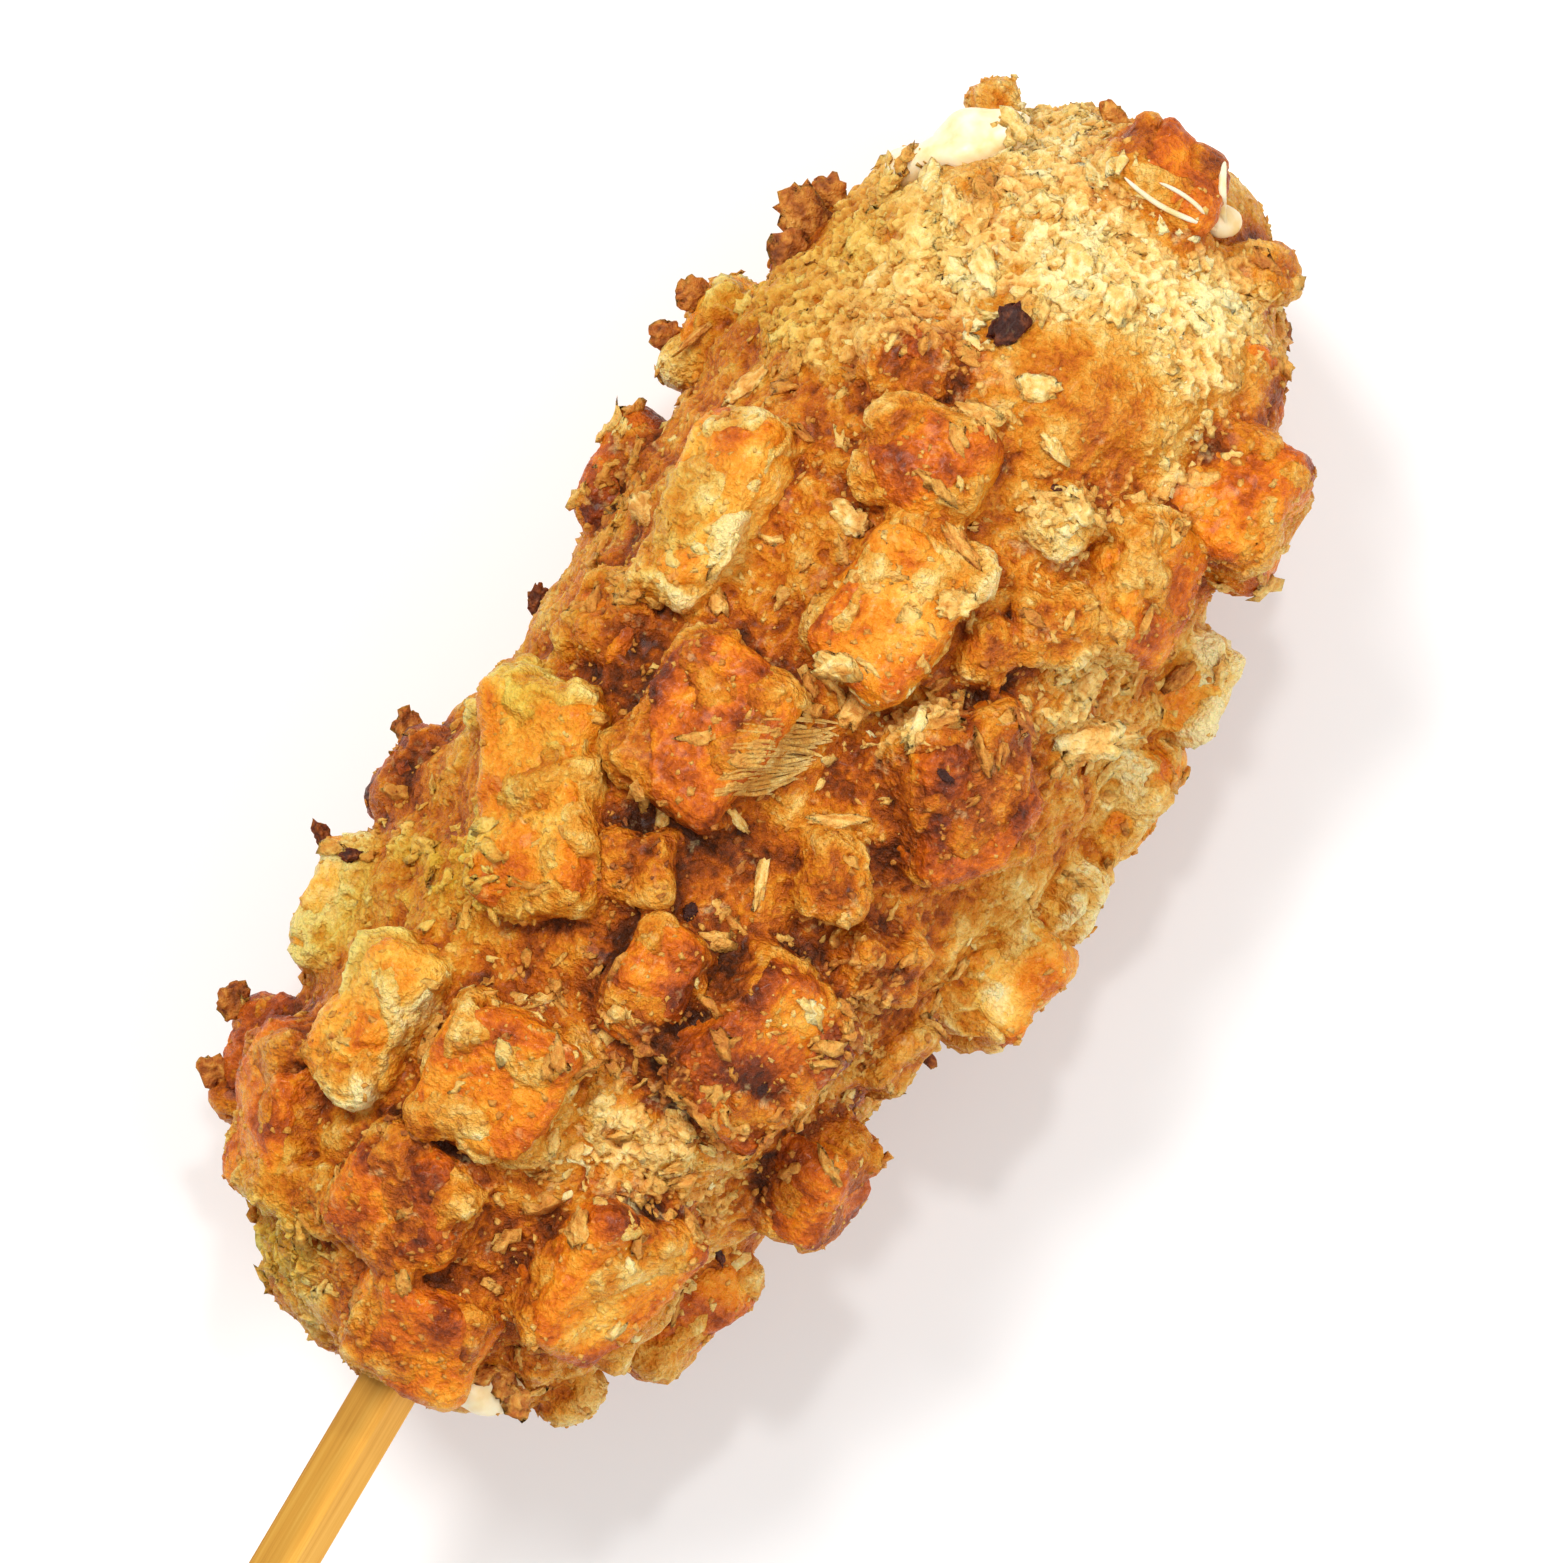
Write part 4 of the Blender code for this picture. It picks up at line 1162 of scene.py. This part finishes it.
def by_hand(name, rows, seed):
    """One mesh with a big crumb for each row: place, length and width in mm, turn in degrees, browning."""
    rng = random.Random(seed)
    shapes = []
    for across, along, *up, length, width, turn, browning in rows:
        crumb = bmesh.new()
        bmesh.ops.create_icosphere(crumb, subdivisions=3, radius=0.5)
        shift = Vector([rng.uniform(0, 50) for _ in range(3)])
        roast = crumb.verts.layers.float.new("roast")
        lift = crumb.verts.layers.float.new("lift")
        for point in crumb.verts:
            way = point.co.normalized()
            point.co *= bitten(way, shift, HAND_BITES)
            point.co.z += CRUMB_CURL * point.co.x**2
            # Painted shade: the crumb is paler on top and darker underneath.
            point[lift] = 2 * point.co.z
            mottle = CRUMB_MOTTLE * noise.noise(way * MOTTLE_RATE + shift)
            point[roast] = browning + CRUMB_BROWNER + mottle
        thickness = min(width, CRUMB_DEEPEST_SHARE * length) * CRUMB_THICK_SHARE
        bmesh.ops.scale(crumb, vec=Vector((length, width, thickness)) * MM, verts=crumb.verts)
        if up:
            back = -along if abs(along) > CAP_START else 0
            inwards = Vector((AXIS_ACROSS - across, back, -up[0])).normalized()
            outside = spot(across, along, up[0]) - inwards * RAY_MM / 2 * MM
            place, normal, _, _ = surface.ray_cast(outside, inwards)
            place = place - inwards * RIM_SUNK_SHARE * length * MM
            normal = RIM_FACES
        else:
            place, normal, _, _ = surface.ray_cast(spot(across, along, RAY_MM), DOWN)
            normal = normal + MORE_UPRIGHT
        lean = normal.to_track_quat("Z", "Y").to_matrix()
        spin = Matrix.Rotation(math.radians(turn), 3, "Z")
        bmesh.ops.rotate(crumb, cent=(0, 0, 0), matrix=lean @ spin, verts=crumb.verts)
        place = place + normal.normalized() * thickness * RAISED_SHARE * MM
        bmesh.ops.translate(crumb, vec=place, verts=crumb.verts)
        shapes.append(crumb)
    return dress(joined(shapes, name), FRIED_CRUMB, "batter")


hand_crumbs = [
    by_hand("bread_flakes", FLAKES_BY_HAND, 5),
    by_hand("burnt_crumbs", BURNT_BY_HAND, 6),
    by_hand("rim_crumbs", RIM_BY_HAND, 7),
]
print("crumbs placed by hand:", sum(len(made.data.polygons) for made in hand_crumbs), "faces")

# %% [markdown]
# A strand is a ball drawn out long and thin, then bent: that gives the pointed ends and the thin middle
# that pulled cheese and frayed potato have. The cheese strings run out from the drop near the tip, and the
# potato fibres fan out from one block that was torn. Their roots sink into the block and have its
# browning.

# %% Strings of cheese and fibres of potato
# Start, end, thickness and bow in mm.
CHEESE_STRINGS = (
    ((12.6, 65.0), (2.6, 64.4), 0.5, 0.8),
    ((13.2, 65.4), (9.8, 70.6), 0.7, 0.4),
    ((12.0, 64.8), (5.6, 65.6), 0.4, -0.5),
)
FIBRE_STARTS = ((-1.2, 4.2), (-0.8, -3.8))
FIBRE_ENDS = ((6.2, 7.6), (5.0, 1.6))
FIBRE_THICK_MM = (0.20, 0.42)
FIBRE_BEGIN = (-0.35, 0.35)
FIBRE_SHARE = (0.7, 1.0)
FIBRES = 80
FIBRE_BOW_MM = 0.6
FIBRE_SPREAD_MM = (0.3, 1.0)
STRAND_SAG_MM = 0.7
STRAND_WIDTH = (0.55, 0.9)
STRAND_RAISED = 0.25
ROOT_SHARE = 0.35
ROOT_SUNK_MM = 0.5
ROOT_ROAST = 0.46
END_ROAST = 0.14


def strand(start, end, thick_mm, bow_mm):
    """A thin string over the surface between two places, bowed to one side."""
    shape = bmesh.new()
    bmesh.ops.create_uvsphere(shape, u_segments=8, v_segments=16, radius=0.5)
    first, last = Vector((*start, 0)), Vector((*end, 0))
    way = (last - first).normalized()
    side = Vector((-way.y, way.x, 0))
    roast = shape.verts.layers.float.new("roast")
    tops = []
    for place in (first, last):
        hit, _, _, _ = surface.ray_cast(spot(place.x, place.y, RAY_MM), DOWN)
        tops.append(hit.z if hit is not None else REFERENCE.z)
    for point in shape.verts:
        share = point.co.z + 0.5
        point[roast] = ROOT_ROAST + (END_ROAST - ROOT_ROAST) * share
        place = first.lerp(last, share) + side * bow_mm * 4 * share * (1 - share)
        hit, _, _, _ = surface.ray_cast(spot(place.x, place.y, RAY_MM), DOWN)
        bridge = tops[0] + (tops[1] - tops[0]) * share - STRAND_SAG_MM * MM
        height = max(hit.z, bridge) if hit is not None else bridge
        height -= max(ROOT_SHARE - share, 0) / ROOT_SHARE * ROOT_SUNK_MM * MM
        width = STRAND_WIDTH[0] + STRAND_WIDTH[1] * (share - 0.5) ** 2
        across = spot(place.x, place.y) + side * point.co.x * 2 * thick_mm * width * MM
        rise = (STRAND_RAISED + point.co.y) * thick_mm * MM
        point.co = Vector((across.x, across.y, height + rise))
    for _ in range(2):
        bmesh.ops.smooth_vert(shape, verts=shape.verts, factor=0.5, use_axis_z=True)
    return shape


rng = random.Random(17)
fibres = []
for number in range(FIBRES):
    share = number / (FIBRES - 1)
    start, end = (Vector(line[0]).lerp(Vector(line[1]), share) for line in (FIBRE_STARTS, FIBRE_ENDS))
    at_root, at_end = FIBRE_SPREAD_MM
    start = start.lerp(end, rng.uniform(*FIBRE_BEGIN)) + Vector((0, rng.uniform(-at_root, at_root)))
    end = start.lerp(end, rng.uniform(*FIBRE_SHARE)) + Vector((0, rng.uniform(-at_end, at_end)))
    thick_mm = rng.uniform(*FIBRE_THICK_MM)
    fibres.append(strand(start, end, thick_mm, rng.uniform(-FIBRE_BOW_MM, FIBRE_BOW_MM)))
frayed = dress(joined(fibres, "frayed_potato"), FRIED_CRUMB, "potato")
strings = [strand(*row) for row in CHEESE_STRINGS]
strings = dress(joined(strings, "cheese_strings"), MOZZARELLA, "cheese")
print("strands:", len(frayed.data.polygons) + len(strings.data.polygons), "faces")

# %% [markdown]
# The stick is a square bar of bamboo. Bamboo is a bundle of long fibres, so its colour changes in fine
# lines along it and much more across. Stretching a noise pattern along the stick gives those lines. The
# left half of the stick is a little darker and greyer, and the change fades out across its middle.

# %% The stick
BAMBOO_LINES = ((0.32, 45), (1.3, 30))
GREY_FADE_MM = 1.4


def bamboo_finish():
    """Planed bamboo: straw yellow with fibres about 0.3 mm apart, dull, with faint darker bands.

    BAMBOO_LINES holds each pattern's width in mm and how many times longer than wide it is.
    """
    settings = {"Roughness": 0.6, "IOR": 1.5, "Specular IOR Level": 0.3}
    made, tree, shader = new_material("planed_bamboo", settings)
    place = add(tree, "ShaderNodeTexCoord", {}).outputs["Object"]
    colours = []
    for size_mm, stretch in BAMBOO_LINES:
        thin = 1 / (size_mm * MM)
        drawn = add(tree, "ShaderNodeMapping", {"Scale": (thin, thin / stretch, thin)}, {"Vector": place})
        settings = {"Scale": 1.0, "Detail": 3.0, "Roughness": 0.6}
        lines = add(tree, "ShaderNodeTexNoise", settings, {"Vector": drawn.outputs["Vector"]})
        colours.append(lines.outputs["Fac"])
    both = add(tree, "ShaderNodeMath", {"operation": "ADD"}, {0: colours[0], 1: colours[1]})
    half = add(tree, "ShaderNodeMath", {"operation": "MULTIPLY", 1: 0.5}, {0: both.outputs[0]})
    ramp = add(tree, "ShaderNodeValToRGB", {}, {"Fac": half.outputs[0]})
    set_stops(ramp, [(0.32, linear("D09030")), (0.48, linear("E3A43C")), (0.66, linear("EFB751"))])
    # The left half is multiplied by a pale grey, which makes it a little darker and greyer.
    side = add(tree, "ShaderNodeSeparateXYZ", {}, {"Vector": place})
    far = REFERENCE.x + GREY_FADE_MM * MM
    limits = {"From Min": REFERENCE.x, "From Max": far, "To Min": 1, "To Max": 0}
    left_share = add(tree, "ShaderNodeMapRange", limits, {"Value": side.outputs["X"]})
    settings = {"blend_type": "MULTIPLY", "Color2": linear("D8D8CC")}
    links = {"Fac": left_share.outputs["Result"], "Color1": ramp.outputs["Color"]}
    greyer_left = add(tree, "ShaderNodeMixRGB", settings, links)
    tree.links.new(greyer_left.outputs["Color"], shader.inputs["Base Color"])
    bump = add(tree, "ShaderNodeBump", {"Strength": 0.35, "Distance": 0.08 * MM}, {"Height": colours[0]})
    tree.links.new(bump.outputs["Normal"], shader.inputs["Normal"])
    return made


PLANED_BAMBOO = bamboo_finish()
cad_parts["stick"].data.materials.clear()
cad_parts["stick"].data.materials.append(PLANED_BAMBOO)
print("stick finish:", PLANED_BAMBOO.name)

# %% [markdown]
# The food lies on a plain white table. A soft lamp on the left throws the shadow to the lower right, a
# small one gives the oil its glints, a wide one opens up the right side, and a pale sky fills the rest.
# The camera looks straight down, turned so that the food leans to the right in the picture, and frames 146
# mm at the food's mid height.

# %% Table, light and camera
LEAN_DEG = 30.5
VIEW_WIDTH_MM = 146.0
LENS_MM = 200.0
SENSOR_MM = 36.0
VIEW_MIDDLE = (3.65, 0.90)
MID_HEIGHT_MM = 30.0
TABLE_M = 2.5
SKY_STRENGTH = 0.46
# Name, direction from the food, distance and size in metres, watts, colour.
LAMPS = (
    ("key_lamp", (-0.75, 0.3, 1.2), 0.9, 0.28, 5.55, (1.0, 0.99, 0.98)),
    ("glint_lamp", (-0.2, 0.5, 1.2), 0.9, 0.06, 1.4, (1.0, 1.0, 1.0)),
    ("fill_lamp", (0.9, 0.1, 1.0), 1.0, 0.6, 4.9, (1.0, 1.0, 1.0)),
)


def make_table():
    """A wide white sheet on the floor, which is a stage and not part of the food."""
    shape = bmesh.new()
    bmesh.ops.create_grid(shape, x_segments=1, y_segments=1, size=TABLE_M)
    mesh = bpy.data.meshes.new("table")
    shape.to_mesh(mesh)
    table = bpy.data.objects.new("table", mesh)
    bpy.context.scene.collection.objects.link(table)
    settings = {"Base Color": linear("FAFAFA"), "Roughness": 0.9}
    made, _, _ = new_material("matt_white_table", settings)
    mesh.materials.append(made)


def area_lamp(name, direction, distance, size, watts, colour):
    """A square soft lamp that faces the food."""
    data = bpy.data.lights.new(name, "AREA")
    data.energy = watts
    data.size = size
    data.color = colour
    lamp = bpy.data.objects.new(name, data)
    aim = spot(AXIS_ACROSS, 0)
    lamp.location = aim + Vector(direction).normalized() * distance
    lamp.rotation_euler = (lamp.location - aim).to_track_quat("Z", "Y").to_euler()
    bpy.context.scene.collection.objects.link(lamp)


make_table()
for row in LAMPS:
    area_lamp(*row)

world = bpy.data.worlds.new("pale_sky")
world.use_nodes = True
sky = {"Color": (1.0, 1.0, 1.0, 1.0), "Strength": SKY_STRENGTH}
set_up(world.node_tree.nodes["Background"], sky)
bpy.context.scene.world = world
bpy.context.scene.view_settings.view_transform = "Standard"

camera_data = bpy.data.cameras.new("camera")
camera_data.lens = LENS_MM
camera_data.sensor_width = SENSOR_MM
camera_data.clip_start = 0.01
camera = bpy.data.objects.new("camera", camera_data)
above = VIEW_WIDTH_MM * LENS_MM / SENSOR_MM
camera.location = spot(*VIEW_MIDDLE)
camera.location.z = (MID_HEIGHT_MM + above) * MM
camera.rotation_euler = (0, 0, math.radians(LEAN_DEG))
bpy.context.scene.collection.objects.link(camera)
bpy.context.scene.camera = camera
print("camera", round(above), "mm above the food's middle")
